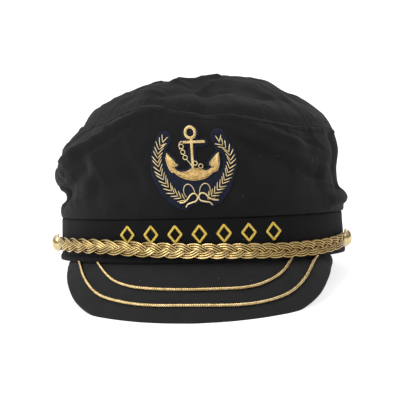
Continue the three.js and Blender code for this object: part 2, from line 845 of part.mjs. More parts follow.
function badgeBackingGeometry() {
  const { stock, shank, ringAt, ringRadius, barHalf, armTop, feltHalfWidth, feltHalfHeight } = badgeDesign;
  const { feltOpensAt, feltNotch } = badgeDesign;
  const half = barHalf * badgeHeight + feltMargin;
  const lower = new THREE.Shape().absellipse(
    0,
    0,
    feltHalfWidth * badgeHeight,
    feltHalfHeight * badgeHeight,
    radians(180 + feltOpensAt),
    radians(360 - feltOpensAt),
  );
  const shapes = [
    lower,
    armShape(-1),
    armShape(1),
    discShape(branchPoint(-1, 1), armTop * badgeHeight),
    discShape(branchPoint(1, 1), armTop * badgeHeight),
    discShape(ringAt, ringRadius * badgeHeight + half),
    barShape(stock, half),
    barShape(shank, half),
    crescentShape(feltMargin),
  ];
  const outline = shapes.map(badgePrism).reduce((all, one) => all.add(one));
  const notch = badgePrism(discShape(feltNotch.at, feltNotch.radius * badgeHeight));
  const sheet = badgeSheet(gap, gap + feltThickness);
  return toGeometry(sheet.intersect(outline).subtract(notch));
}

function badgeAnchorGeometry() {
  const { stock, shank, ringAt, ringRadius, barHalf } = badgeDesign;
  const half = barHalf * badgeHeight;
  const ring = discShape(ringAt, ringRadius * badgeHeight + half);
  ring.holes.push(discShape(ringAt, ringRadius * badgeHeight - half));
  const shapes = [ring, barShape(stock, half), barShape(shank, half), crescentShape(0)];
  const outline = shapes.map(badgePrism).reduce((all, one) => all.add(one));
  const floor = 2 * gap + feltThickness;
  return toGeometry(badgeSheet(floor, floor + anchorRaise).intersect(outline));
}

// One branch's outline: a stem with a straight leaf on either side at each step, and one at its end
function branchShape(side) {
  const { leafLength, leafAngle } = badgeDesign;
  const reach = leafLength * badgeHeight;
  const lean = radians(leafAngle);
  const stemHalf = leafWidth * 0.4;
  const tipWidth = leafWidth * 0.6;
  const stations = Array.from({ length: leafPairs }, (_, i) => {
    const root = designPoint(branchPoint(side, i / leafPairs));
    const next = designPoint(branchPoint(side, (i + 1) / leafPairs));
    return { root, along: next.sub(root).normalize() };
  });
  const placeAt = ({ root, along }, hand) => {
    const out = new THREE.Vector2(along.y, -along.x).multiplyScalar(hand);
    return (ahead, away) => root.clone().addScaledVector(along, ahead).addScaledVector(out, away);
  };
  const rim = (hand) =>
    stations.flatMap((station) => {
      const at = placeAt(station, hand);
      const ahead = reach * Math.cos(lean);
      const away = stemHalf + reach * Math.sin(lean);
      return [
        at(0, stemHalf),
        at(ahead, away),
        at(ahead + tipWidth * Math.sin(lean), away - tipWidth * Math.cos(lean)),
        at(leafWidth / Math.sin(lean), stemHalf),
      ];
    });
  const last = placeAt(stations.at(-1), 1);
  const end = [last(reach * 1.6, tipWidth / 2), last(reach * 1.6, -tipWidth / 2)];
  return new THREE.Shape([...rim(1), ...end, ...rim(-1).reverse()]);
}

// A thin raised shape laid on the felt, with each of its corners moved onto the crown's curve
function badgeBranchGeometry(side) {
  const floor = 2 * gap + feltThickness;
  const geometry = new THREE.ExtrudeGeometry(branchShape(side), { depth: leafRaise, bevelEnabled: false });
  const position = geometry.attributes.position;
  for (let i = 0; i < position.count; i += 1) {
    const place = badgePoint(position.getX(i), position.getY(i), floor + position.getZ(i));
    position.setXYZ(i, place.x, place.y, place.z);
  }
  geometry.computeVertexNormals();
  return geometry;
}

// A lozenge embroidered on the band, open in its middle
function motifGeometry(number) {
  const halfHeight = motifHeight / 2;
  const middle = bandHeight - motifMarginAbove - halfHeight;
  const across = motifRight + (number - (motifCount - 1) / 2) * motifPitch;
  const place = (x, y, out) => bandPoint(Math.asin((across + x) / bandHalfWidth), middle + y, gap + out);
  const corners = [
    [1, 0],
    [0, 1],
    [-1, 0],
    [0, -1],
  ];
  const inner = 1 - motifStroke / (motifWidth / 2);
  const shoulder = motifRaise * 0.6;
  const sections = corners.map(([x, y]) => {
    const at = (share, out) => place((x * share * motifWidth) / 2, y * share * halfHeight, out);
    return [
      at(inner, 0),
      at(1, 0),
      at(1, shoulder),
      at((1 + inner) / 2, motifRaise),
      at(inner, shoulder),
    ];
  });
  return loopedSections(sections, true);
}

// The cap lies on the line through the back of the band and the front edge of the peak. Both are
// flattened there.
function restPlane() {
  const backEdge = new THREE.Vector3(0, bandHalfLength + hemProud * 0.4, restFlat * 0.6);
  const nose = peakPoint(0, 1).addScaledVector(peakNormal(0, 1), -peakThickness / 2);
  const under = peakPoint(0, 0.97).addScaledVector(peakNormal(0, 0.97), -peakThickness);
  const frontEdge = new THREE.Vector3(0, (nose.y + under.y) / 2, Math.min(nose.z, under.z) + restFlat);
  const tilt = Math.atan2(backEdge.z - frontEdge.z, backEdge.y - frontEdge.y);
  return { frontEdge, tilt };
}

function flattened(geometry) {
  const { frontEdge, tilt } = restPlane();
  const size = 4 * (bandHalfLength + peakReach);
  const block = new THREE.BoxGeometry(size, size, size);
  block.translate(0, 0, -size / 2);
  block.rotateX(tilt);
  block.translate(frontEdge.x, frontEdge.y, frontEdge.z);
  return toGeometry(toSolid(geometry).subtract(toSolid(block)));
}

function mesh(name, geometry, material) {
  const made = new THREE.Mesh(geometry, material);
  made.name = name;
  return made;
}

// The cap upright on its band's lower edge, before it is laid down
const cap = new THREE.Group();
cap.add(
  mesh("band", flattened(bandGeometry()), clothBlack),
  mesh("crown_side", crownSideGeometry(), clothBlack),
  mesh("crown_tip", crownTipGeometry(), clothBlack),
  mesh("peak", flattened(peakGeometry()), clothBlack),
);
for (const cord of peakCords) cap.add(mesh(cord.name, peakCordGeometry(cord), gimpGold));
for (let strand = 0; strand < 3; strand += 1) {
  cap.add(mesh(`braid_strand_${strand + 1}`, strandGeometry((strand * 2 * Math.PI) / 3), gimpGold));
}
for (const [name, side] of [
  ["button_left", -1],
  ["button_right", 1],
]) {
  const azimuth = radians(side * strapEndAzimuth);
  const button = mesh(name, buttonGeometry(), buttonGold);
  button.position.copy(bandPoint(azimuth, strapHeight(side), gap));
  button.quaternion.setFromUnitVectors(new THREE.Vector3(0, 1, 0), bandNormal(azimuth));
  cap.add(button);
}
cap.add(mesh("badge_backing", badgeBackingGeometry(), feltNavy));
cap.add(mesh("badge_anchor", badgeAnchorGeometry(), gimpGold));
cap.add(mesh("badge_branch_left", badgeBranchGeometry(-1), gimpGold));
cap.add(mesh("badge_branch_right", badgeBranchGeometry(1), gimpGold));
for (let number = 0; number < motifCount; number += 1) {
  cap.add(mesh(`band_motif_${number + 1}`, motifGeometry(number), threadYellow));
}

// Laid down, with the origin on the surface under the middle of the cap
const laid = new THREE.Group();
laid.add(cap);
laid.rotation.x = -restPlane().tilt;
laid.updateMatrixWorld(true);
const extent = new THREE.Box3().setFromObject(laid, true);
const middle = extent.getCenter(new THREE.Vector3());
laid.position.set(-middle.x, -middle.y, -extent.min.z);

const captainHat = new THREE.Group();
captainHat.add(laid);
export default captainHat;
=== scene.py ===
import math

import bmesh
import bpy
import numpy as np
from mathutils import Matrix, Vector


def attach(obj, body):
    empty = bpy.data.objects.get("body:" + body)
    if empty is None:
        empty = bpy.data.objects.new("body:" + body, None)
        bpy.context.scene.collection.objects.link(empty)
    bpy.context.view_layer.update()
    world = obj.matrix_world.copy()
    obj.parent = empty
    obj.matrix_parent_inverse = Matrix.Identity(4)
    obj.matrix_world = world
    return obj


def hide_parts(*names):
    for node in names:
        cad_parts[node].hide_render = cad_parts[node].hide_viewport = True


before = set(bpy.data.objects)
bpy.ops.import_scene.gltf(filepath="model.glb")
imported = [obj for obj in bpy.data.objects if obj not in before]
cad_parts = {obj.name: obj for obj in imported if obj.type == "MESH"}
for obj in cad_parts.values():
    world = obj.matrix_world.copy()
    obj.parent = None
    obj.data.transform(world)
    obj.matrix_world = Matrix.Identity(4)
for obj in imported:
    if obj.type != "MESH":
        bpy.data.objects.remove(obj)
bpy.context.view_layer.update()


# ---- How the cap lies --------------------------------------------------------------------------------
# The cap lies on a table by itself, on the front edge of its peak and the back of its band, so it is
# tipped by about eight degrees. Each piece is shaped upright, on the band's lower edge, and laid down.
lie_angle = -0.14312
lie_at = np.array((-0.00003, 0.01514, 0.01354))


def laid(points):
    c, s = math.cos(lie_angle), math.sin(lie_angle)
    turn = np.array(((1, 0, 0), (0, c, s), (0, -s, c)))
    return np.asarray(points, float) @ turn + lie_at


def laid_direction(vectors):
    return laid(vectors) - lie_at


# ---- Band --------------------------------------------------------------------------------------------
# A stiffened oval ring of black cotton, 26 mm high, with its lower edge rolled into a narrow hem. The
# crown, the peak and the strap are all fixed to it.
band_half_width = 0.090
band_half_length = 0.098
band_height = 0.026
band_wall = 0.0024
band_lean = 0.001
band_unevenness = 0.0002
hem_height = 0.0034
hem_proud = 0.0007
hem_groove_width = 0.0006
hem_groove_depth = 0.0003
band_edge_turned = 0.0004
gap = 0.0003
ring_steps = 540


class Network:
    """A node tree under construction, of a material or of Geometry Nodes."""

    def __init__(self, tree):
        self.tree = tree

    def join(self, value, socket):
        if isinstance(value, Socket):
            self.tree.links.new(value.socket, socket)
        else:
            socket.default_value = value

    def node(self, kind, values=None, out=0, **settings):
        """Adds a node, sets it up, joins its inputs, and gives one of its outputs."""
        made = self.tree.nodes.new(kind)
        for name, value in settings.items():
            setattr(made, name, value)
        for key, value in (values or {}).items():
            self.join(value, made.inputs[key])
        return Socket(self, made.outputs[out])

    def split(self, vector):
        """A vector's x. Its y and z are the outputs 1 and 2."""
        return self.node("ShaderNodeSeparateXYZ", {0: vector})

    def mixed(self, share, a, b):
        a, b = (colour if isinstance(colour, Socket) else (*colour, 1.0) for colour in (a, b))
        return self.node("ShaderNodeMix", {0: share, 6: a, 7: b}, out=2, data_type="RGBA")


class Socket:
    """A node's output that sums are written with. Each operator adds its Math node."""

    def __init__(self, network, socket):
        self.network = network
        self.socket = socket

    def other(self, out):
        return Socket(self.network, self.socket.node.outputs[out])

    def maths(self, operation, *values, clamp=False):
        values = dict(enumerate(values))
        return self.network.node("ShaderNodeMath", values, operation=operation, use_clamp=clamp)

    def __add__(self, other):
        return self.maths("ADD", self, other)

    __radd__ = __add__

    def __mul__(self, other):
        return self.maths("MULTIPLY", self, other)

    __rmul__ = __mul__

    def __sub__(self, other):
        return self.maths("SUBTRACT", self, other)

    def __rsub__(self, other):
        return self.maths("SUBTRACT", other, self)

    def __truediv__(self, other):
        return self.maths("DIVIDE", self, other)

    def __lt__(self, other):
        return self.maths("LESS_THAN", self, other)

    def __gt__(self, other):
        return self.maths("GREATER_THAN", self, other)

    def sine(self):
        return self.maths("SINE", self)

    def cosine(self):
        return self.maths("COSINE", self)

    def within(self, low, high):
        """0 at low and 1 at high, and held there outside them."""
        slope = 1 / (high - low)
        return self.maths("MULTIPLY_ADD", self, slope, -low / (high - low), clamp=True)


class Finish(Network):
    """A material round one Principled shader, with the values that are the same all over."""

    def __init__(self, name, even):
        self.material = bpy.data.materials.new(name)
        self.material.use_nodes = True
        super().__init__(self.material.node_tree)
        self.shader = self.tree.nodes["Principled BSDF"]
        for key, value in even.items():
            self.shader.inputs[key].default_value = value

    def place(self):
        return self.node("ShaderNodeTexCoord", out="Object")

    def noise(self, scale, detail=2.0):
        values = {"Vector": self.place(), "Scale": scale, "Detail": detail}
        return self.node("ShaderNodeTexNoise", values)

    def attribute(self, name, out="Fac"):
        return self.node("ShaderNodeAttribute", out=out, attribute_name=name)

    def raised(self, height, distance, strength=1.0):
        """A bump from a height of 0 to 1, over a distance in metres."""
        values = {"Height": height, "Distance": distance, "Strength": strength}
        return self.node("ShaderNodeBump", values)

    def shows(self, **looks):
        for key, value in looks.items():
            self.join(value, self.shader.inputs[key.replace("_", " ")])


def grey(shade):
    return shade, shade, shade


# Washed black cotton: a plain weave of half-millimetre threads, paler on the ridges of its folds, with
# a few specks of lint. lift makes it paler and a little glossier all over.
thread_pitch = 0.00052
cotton_dark = np.array((0.0042, 0.0041, 0.0047))
cotton_worn = np.array((0.0115, 0.0113, 0.0124))
lint_cells = 62.0
lint_size = 0.013
lint_chosen = 0.86


def black_cotton(name, lift):
    cloth = Finish(name, {
        "Sheen Weight": 0.035 * lift, "Sheen Roughness": 0.5, "Specular IOR Level": 0.2 * lift})
    woven = cloth.node("ShaderNodeUVMap", uv_map="cloth")
    across = cloth.split(woven)
    turn = math.pi / thread_pitch
    weave = (across * turn).sine() * (across.other(1) * turn).sine() * 0.5 + 0.5
    mottle = cloth.noise(95.0, 3.0)
    crumple = cloth.noise(420.0, 3.0)
    cells = {"Vector": woven, "Scale": lint_cells}
    lint = cloth.node("ShaderNodeTexVoronoi", cells, voronoi_dimensions="2D")
    chosen = cloth.node("ShaderNodeSeparateColor", {0: lint.other("Color")})
    speck = (lint < lint_size) * (chosen > lint_chosen)
    shade = mottle * 0.5 + crumple * 0.25 + weave * 0.18 + cloth.attribute("wear") * 0.9
    dark = cloth.mixed(shade.within(0.2, 1.35), cotton_dark * lift, cotton_worn * lift)
    cloth.shows(
        Base_Color=cloth.mixed(speck * 0.8, dark, grey(0.2)),
        Roughness=0.97 - weave * 0.1 - mottle * 0.06,
        Normal=cloth.raised(weave * 0.35 + crumple * 0.65, 0.00016, 0.75),
    )
    return cloth.material


cotton = black_cotton("black_cotton", lift=0.97)
# The band's cotton is the same cloth made darker, as painted shade.
band_cotton = black_cotton("band_cotton", lift=0.72)


def placed(name, data):
    """An object in the scene for a mesh, a light or a camera."""
    made = bpy.data.objects.new(name, data)
    bpy.context.scene.collection.objects.link(made)
    return made


def smooth_piece(name, mesh, nearness, close):
    """Welds a mesh's points that are this near, closes its holes or turns its faces out, and
    makes a smooth piece of it."""
    form = bmesh.new()
    form.from_mesh(mesh)
    bmesh.ops.remove_doubles(form, verts=form.verts, dist=nearness)
    if close:
        bmesh.ops.holes_fill(form, edges=form.edges, sides=0)
    else:
        bmesh.ops.recalc_face_normals(form, faces=form.faces)
    form.to_mesh(mesh)
    form.free()
    mesh.shade_smooth()
    return placed(name, mesh)


def cloth_piece(name, points, weave, loops, wear=None):
    """A closed piece of cloth from a grid of points. Rows follow the cap round, and columns cross
    the cloth. loops tells whether the rows and the columns close on themselves."""
    rows, columns = points.shape[:2]
    steps = (np.arange(count if loop else count - 1) for count, loop in zip((rows, columns), loops))
    i, j = crossed(*steps)
    corners = [(i, j), (i + 1, j), (i + 1, j + 1), (i, j + 1)]
    faces = np.stack([(a % rows) * columns + b % columns for a, b in corners], -1).reshape(-1, 4)
    woven = np.stack([weave[a, b] for a, b in corners], 2).reshape(-1, 4, 2)
    places = laid(points.reshape(-1, 3))
    a, b, c = (places[faces[:, k]] for k in (0, 1, 2))
    if np.einsum("ij,ij->i", a, np.cross(b, c)).sum() < 0:
        faces, woven = faces[:, ::-1], woven[:, ::-1]
    places[:, 2] = np.maximum(places[:, 2], 0)
    mesh = bpy.data.meshes.new(name)
    mesh.from_pydata(places, [], faces.tolist())
    mesh.uv_layers.new(name="cloth").data.foreach_set("uv", woven.astype(np.float32).ravel())
    worn = mesh.attributes.new("wear", "FLOAT", "POINT")
    if wear is not None:
        worn.data.foreach_set("value", wear.astype(np.float32).ravel())
    return smooth_piece(name, mesh, 1e-6, close=True)


def fitted(piece, material, slot, *nodes):
    """Gives a finished piece its material, and fixes it to the cap in place of its CAD nodes."""
    if material:
        piece.data.materials.clear()
        piece.data.materials.append(material)
    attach(piece, "root")
    if nodes:
        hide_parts(*nodes)


def crossed(along, over):
    """Two grids, of the values along the rows and of those along the columns."""
    return np.meshgrid(along, over, indexing="ij")


def full_turn(count):
    """Angles evenly round a circle, without its last point, which is its first."""
    return np.arange(count) / count * 2 * math.pi


def near(away, reach):
    """1 on a line, and falling to nothing past a reach from it."""
    return np.exp(-((away / reach) ** 2))


def unit(vectors):
    return vectors / np.linalg.norm(vectors, axis=-1, keepdims=True)


def spread(*columns):
    """Points or vectors from their three coordinates, each a number or an array."""
    return np.stack(np.broadcast_arrays(*columns), -1).astype(float)


def band_normal(azimuth):
    return unit(spread(band_half_length * np.sin(azimuth), -band_half_width * np.cos(azimuth), 0))


def band_point(azimuth, height, outwards):
    lean = band_lean * height / band_height
    across, along = band_half_width - lean, band_half_length - lean
    edge = spread(across * np.sin(azimuth), -along * np.cos(azimuth), height)
    return edge + np.expand_dims(outwards, -1) * band_normal(azimuth)


def uneven(points, seed, longest, shortest):
    """Soft random unevenness of about -1 to 1 at each point, from waves of many lengths and ways."""
    chance = np.random.default_rng(seed)
    total, most = 0, 0
    for _ in range(30):
        length = longest * (shortest / longest) ** chance.random()
        way = unit(chance.normal(size=3)) * 2 * math.pi / length
        total = total + length**0.8 * np.sin(points @ way + chance.random() * 2 * math.pi)
        most += length**1.6 / 2
    return total / (1.6 * math.sqrt(most))


def creased(points, seed, longest, shortest):
    """Crumpled cloth, from 0 in the hollows to 1 on its creases, which are narrow winding ridges."""
    return 1 - np.sqrt(np.minimum(1, uneven(points, seed, longest, shortest) ** 2 + 0.004)) ** 0.6


azimuths = full_turn(ring_steps)
hem_shares = np.linspace(0, 1, 9)
panel_shares = np.linspace(0, 1, 22)
inner_shares = np.linspace(1, 0, 9)
panel_foot = hem_height + hem_groove_width
hem_round = np.sqrt(np.maximum(0.05, 1 - (2 * hem_shares - 0.9) ** 2))
groove = np.where(panel_shares < 0.04, -hem_groove_depth, 0)
band_heights = np.concatenate([
    hem_height * hem_shares,
    panel_foot + (band_height - hem_height - hem_groove_width) * panel_shares,
    band_height * inner_shares,
])
band_outwards = np.concatenate([
    hem_proud * hem_round,
    groove - band_edge_turned * np.maximum(0, panel_shares - 0.94) / 0.06,
    0 * inner_shares - band_wall,
])
round_grid, height_grid = crossed(azimuths, band_heights)
free = np.minimum(1, np.maximum(0, (height_grid - hem_height) / 0.004)) * (band_outwards > -0.001)
band_place = band_point(round_grid, height_grid, 0 * height_grid)
band_uneven = band_unevenness * uneven(band_place, 3, 0.05, 0.012) + 0.00005
band_grid = band_point(round_grid, height_grid, band_outwards + band_uneven * free)
band_around = np.arange(ring_steps + 1) / ring_steps * 2 * math.pi * band_half_length
band_across = np.concatenate([band_heights, [band_heights[-1] + band_wall]])
band_weave = np.stack(crossed(band_around, band_across), -1)
band_wear = near(height_grid - hem_height * 0.5, 0.0012) * 0.25
band = cloth_piece("band_cloth", band_grid, band_weave, (True, True), band_wear)
fitted(band, band_cotton, "black_cotton", "band")


# ---- Crown side --------------------------------------------------------------------------------------
# Soft black cotton, seamed to the top of the band and rising to the tip. Nothing stiffens it, so it
# bulges over the band, sinks at the sides and lies in folds. Under the badge it is held flat.
crown_wall = 0.0014
crown_proud = 0.0006
crown_side_height = 0.062
seam_allowance = 0.0004
seam_groove = 0.0008
band_seam_groove = 0.0004
badge_margin_below = 0.005
badge_margin_above = 0.006
badge_right = 0.0008
badge_calm_fade = 0.42
felt_half_width = 0.485

# crumpled cloth: its height, and the lengths of its longest and shortest waves
crumple_height = 0.00075
crumple_longest = 0.055
crumple_shortest = 0.013

# the gathers that stitching draws into cloth: how high, how far from the seam, and how wide
pucker_height = 0.00026
pucker_away = 0.0028
pucker_reach = 0.0032

# rise from the band seam to the tip seam, then how far out the cloth is on each side, as shares of the
# band's half width and half length: rise, left, right, front, back
side_sections = (
    (0.0, 0.988, 0.998, 0.99, 0.99),
    (0.08, 0.99, 0.998, 1.0, 1.01),
    (0.15, 0.992, 1.01, 1.005, 1.025),
    (0.22, 0.98, 0.99, 1.006, 1.03),
    (0.3, 0.985, 0.962, 1.006, 1.026),
    (0.4, 1.004, 0.954, 1.003, 1.016),
    (0.5, 1.002, 0.955, 0.997, 1.004),
    (0.61, 0.988, 0.96, 0.987, 0.99),
    (0.72, 0.97, 0.963, 0.973, 0.972),
    (0.83, 0.923, 0.957, 0.95, 0.94),
    (0.92, 0.862, 0.945, 0.918, 0.905),
    (1.0, 0.812, 0.935, 0.875, 0.86),
)

# height of the tip seam at each azimuth in degrees, as a share of the side's height
seam_heights = (
    (-180, 0.85), (-135, 0.88), (-90, 0.93), (-68, 0.935), (-43, 0.99), (-20, 1.1), (-8, 1.05),
    (3, 1.01), (14, 0.985), (30, 0.93), (45, 0.88), (66, 0.85), (90, 0.83), (135, 0.83), (180, 0.85),
)

# main folds, each from one azimuth and rise to another, then its depth and half width as shares of the
# side's height: from azimuth, from rise, to azimuth, to rise, depth, width
side_folds = (
    (5, 0.94, 58, 0.43, -0.06, 0.12),
    (12, 0.98, 44, 0.76, 0.045, 0.12),
    (-24, 0.98, -62, 0.62, 0.03, 0.12),
    (-94, 0.19, -72, 0.24, -0.05, 0.08),
    (-72, 0.24, -50, 0.5, -0.065, 0.12),
    (-42, 0.33, -22, 0.35, -0.05, 0.12),
    (-86, 0.46, -58, 0.66, 0.035, 0.14),
    (76, 0.86, 84, 0.34, -0.04, 0.1),
    (88, 0.2, 66, 0.1, 0.035, 0.09),
    (118, 0.2, 140, 0.62, -0.06, 0.13),
    (160, 0.3, 196, 0.24, -0.05, 0.12),
    (214, 0.28, 232, 0.74, -0.06, 0.12),
    (168, 0.62, 206, 0.7, 0.035, 0.14),
)

# small creases between the main folds, in the same columns
side_creases = (
    (0, 0.99, 54, 0.6, 0.02, 0.04),
    (-14, 0.975, -38, 0.85, 0.024, 0.028),
    (-38, 0.85, -68, 0.6, 0.028, 0.03),
    (-26, 0.83, -44, 0.7, -0.014, 0.035),
    (-44, 0.7, -66, 0.48, -0.016, 0.04),
    (-56, 0.93, -76, 0.74, 0.016, 0.03),
    (-60, 0.42, -84, 0.3, 0.018, 0.03),
    (-48, 0.24, -70, 0.16, 0.014, 0.03),
    (-86, 0.6, -68, 0.4, -0.016, 0.04),
    (34, 0.93, 62, 0.74, -0.012, 0.03),
    (50, 0.4, 74, 0.3, 0.014, 0.034),
    (60, 0.62, 82, 0.5, -0.014, 0.03),
    (70, 0.24, 88, 0.3, -0.014, 0.026),
    (112, 0.7, 132, 0.5, 0.016, 0.03),
    (150, 0.5, 178, 0.42, 0.014, 0.03),
    (196, 0.52, 222, 0.46, -0.014, 0.03),
    (236, 0.36, 262, 0.5, 0.016, 0.03),
)


def ease(share):
    s = np.clip(share, 0, 1)
    return s * s * (3 - 2 * s)


def wrapped(degrees):
    return (degrees + 180) % 360 - 180


def read_table(table, at, column):
    """Reads a column at a place along the table's first one, on a smooth curve through its rows."""
    rows = np.asarray(table, float)
    keys, values = rows[:, 0], rows[:, column]
    last = len(rows) - 1
    every = np.arange(last + 1)
    before, after = np.maximum(every - 1, 0), np.minimum(every + 1, last)
    slopes = (values[after] - values[before]) / (keys[after] - keys[before])
    low = np.clip(np.searchsorted(keys, at) - 1, 0, last - 1)
    span = keys[low + 1] - keys[low]
    s = np.clip((at - keys[low]) / span, 0, 1)
    bend = values[low] + (values[low + 1] - values[low]) * s * s * (3 - 2 * s)
    leaving, arriving = s - 2 * s**2 + s**3, s**3 - s**2
    return bend + leaving * span * slopes[low] + arriving * span * slopes[low + 1]


def fold_heights(x, y, folds):
    """How far a set of folds lifts the cloth, each a smooth ridge or valley along a line."""
    total = np.zeros(np.broadcast(x, y).shape)
    for from_x, from_y, to_x, to_y, depth, width in folds:
        along_x, along_y = to_x - from_x, to_y - from_y
        share = ((x - from_x) * along_x + (y - from_y) * along_y) / (along_x**2 + along_y**2)
        share = np.clip(share, 0, 1)
        away = np.hypot(x - from_x - share * along_x, y - from_y - share * along_y)
        total = total + depth * near(away, width)
    return total


panel_height = crown_side_height * read_table(seam_heights, 0, 1)
badge_height = panel_height - badge_margin_below - badge_margin_above
badge_reach = felt_half_width * badge_height + badge_right
badge_calm_azimuth = math.degrees(math.asin(badge_reach / band_half_width))


def side_fold_heights(azimuth, rise, folds):
    """How far folds lift the side, and how free of the badge each place is, from 0 to 1."""
    tall = crown_side_height
    girth = math.radians(1) * band_half_width
    turn = wrapped(np.degrees(azimuth))
    total = 0
    for from_turn, from_rise, to_turn, to_rise, depth, width in folds:
        middle = (from_turn + to_turn) / 2
        here = (middle + wrapped(turn - middle)) * girth
        line = (from_turn * girth, from_rise * tall, to_turn * girth, to_rise * tall)
        total = total + fold_heights(here, rise * tall, [(*line, depth * tall, width * tall)])
    up = (rise * panel_height - badge_margin_below) / badge_height * 2 - 1
    off_badge = ease((np.hypot(turn / badge_calm_azimuth, up) - 1) / badge_calm_fade)
    return total * ease(rise / 0.12) * off_badge, off_badge


def plain_side(azimuth, rise):
    left, right, front, back = (read_table(side_sections, rise, k) for k in (1, 2, 3, 4))
    across = np.where(np.sin(azimuth) < 0, left, right)
    along = np.where(np.cos(azimuth) > 0, front, back)
    seam = read_table(seam_heights, wrapped(np.degrees(azimuth)), 1)
    return spread(
        (band_half_width * across + crown_proud) * np.sin(azimuth),
        -(band_half_length * along + crown_proud) * np.cos(azimuth),
        band_height + gap + rise * seam * crown_side_height,
    )


def normal_of(surface, azimuth, share, step):
    turn = 0.01
    along_turn = surface(azimuth + turn, share) - surface(azimuth - turn, share)
    along_share = surface(azimuth, share + step) - surface(azimuth, share - step)
    return unit(np.cross(along_turn, along_share))


def side_normal(azimuth, rise):
    return normal_of(plain_side, azimuth, np.clip(rise, 0.01, 0.99), 0.01)


def pucker(azimuth, away):
    """The small gathers that a row of stitching draws into the cloth, away from the seam in metres."""
    waves = ((43, 2.2, 0.3), (71, 0.2, 0.4), (97, 1.3, 0.3), (127, 4.4, 0.25))
    gathers = sum(tall * np.sin(count * azimuth + start) for count, start, tall in waves)
    return pucker_height * gathers * near(away - pucker_away, pucker_reach)


def crumpled(place, waves, waves_seed, ridges, ridges_seed):
    """The height of crumpled cloth, with shares of soft waves and of narrow ridges."""
    lengths = crumple_longest, crumple_shortest
    soft = waves * uneven(place, waves_seed, *lengths)
    return crumple_height * (soft + ridges * creased(place, ridges_seed, *lengths) - 0.3)


def side_surface(azimuth, rise):
    folds, off_badge = side_fold_heights(azimuth, rise, side_folds)
    creases, _ = side_fold_heights(azimuth, rise, side_creases)
    under_seam = (1 - rise) * crown_side_height
    over_band = rise * crown_side_height
    place = plain_side(azimuth, rise)
    crumple = crumpled(place, 0.6, 5, 1.0, 11)
    fine = creases + crumple * off_badge * ease(rise / 0.1) * ease((1 - rise) / 0.04)
    fine = fine + pucker(azimuth, under_seam) + pucker(azimuth + 1.1, over_band) * 0.5
    fine = fine + seam_allowance * ease((0.0036 - under_seam) / 0.0009)
    fine = fine - seam_groove * near(under_seam, 0.0008) - band_seam_groove * near(over_band, 0.001)
    return place + np.expand_dims(folds + fine, -1) * side_normal(azimuth, rise)


side_rises = np.linspace(0, 1, 105)
round_grid, rise_grid = crossed(azimuths, side_rises)
side_outer = side_surface(round_grid, rise_grid)
inner_rises = np.linspace(1, 0, 12)
inner_round, inner_rise = crossed(azimuths, inner_rises)
inner_face = side_surface(inner_round, inner_rise)
side_inner = inner_face - crown_wall * side_normal(inner_round, inner_rise)
side_grid = np.concatenate([side_outer, side_inner], 1)
climb = np.concatenate([side_rises, 2 - inner_rises, [2.05]]) * crown_side_height
side_weave = np.stack(crossed(band_around, climb), -1)
ridges = np.maximum(0, side_fold_heights(round_grid, rise_grid, side_creases)[0]) / 0.0008 * 0.35
side_wear = np.concatenate([ridges + 0.7 * near(1 - rise_grid, 0.02), inner_rise * 0], 1)
crown_side = cloth_piece("side_cloth", side_grid, side_weave, (True, True), side_wear)
fitted(crown_side, cotton, "black_cotton", "crown_side")


# ---- Crown tip ---------------------------------------------------------------------------------------
# The oval top panel of the same cotton. It stands up soft from the tip seam and sags between long
# shallow folds. The seam is pressed towards the side and topstitched on both sides in black thread.
tip_rise = 0.025
tip_reach = 0.085
tip_seam_groove = 0.0004
summit_right = 0.013
summit_back = 0.006

# how far out from the summit, then how far up from the seam on the left and on the right, as shares
tip_sections = (
    (0.0, 1.0, 1.0), (0.28, 0.95, 0.955), (0.5, 0.84, 0.82), (0.69, 0.66, 0.6), (0.83, 0.45, 0.385),
    (0.94, 0.25, 0.19), (1.0, 0.0, 0.0),
)

# folds in plan, from and to as shares of the band's half width and length, then depth and half width as
# shares of the tip's rise
tip_folds = (
    (-0.66, -0.34, -0.3, -0.72, 0.1, 0.3),
    (-0.62, -0.2, -0.2, -0.52, -0.13, 0.27),
    (-0.3, -0.62, 0.14, -0.36, 0.1, 0.22),
    (0.06, -0.62, 0.42, -0.5, -0.12, 0.34),
    (0.66, -0.2, 0.56, 0.3, -0.1, 0.34),
    (-0.1, 0.16, 0.3, 0.44, -0.12, 0.36),
    (-0.5, 0.3, -0.22, 0.56, -0.1, 0.34),
    (-0.05, -0.36, -0.02, 0.52, -0.11, 0.46),
)
tip_creases = (
    (-0.7, -0.26, -0.52, 0.12, 0.04, 0.06),
    (-0.28, -0.52, -0.08, -0.26, 0.04, 0.06),
    (-0.5, -0.3, -0.26, -0.1, 0.04, 0.07),
    (0.02, -0.62, 0.12, -0.46, 0.03, 0.07),
    (-0.66, -0.34, -0.32, -0.7, 0.05, 0.13),
    (-0.36, -0.6, 0.14, -0.37, 0.055, 0.13),
    (-0.6, -0.24, -0.22, -0.54, -0.04, 0.16),
    (-0.2, -0.76, 0.2, -0.6, -0.03, 0.14),
    (-0.5, -0.56, -0.2, -0.74, 0.035, 0.09),
    (-0.42, -0.44, -0.04, -0.56, 0.035, 0.08),
    (0.1, -0.46, 0.4, -0.36, 0.03, 0.1),
    (0.3, -0.62, 0.62, -0.42, -0.03, 0.1),
    (0.4, -0.1, 0.7, 0.06, 0.03, 0.1),
    (-0.7, 0.02, -0.44, 0.16, 0.035, 0.1),
    (-0.2, 0.5, 0.16, 0.6, 0.03, 0.1),
    (0.2, 0.2, 0.46, 0.5, -0.03, 0.1),
)


def in_plan(folds):
    wide, long, rise = band_half_width, band_half_length, tip_rise
    return [(a * wide, b * long, c * wide, d * long, depth * rise, width * rise)
            for a, b, c, d, depth, width in folds]


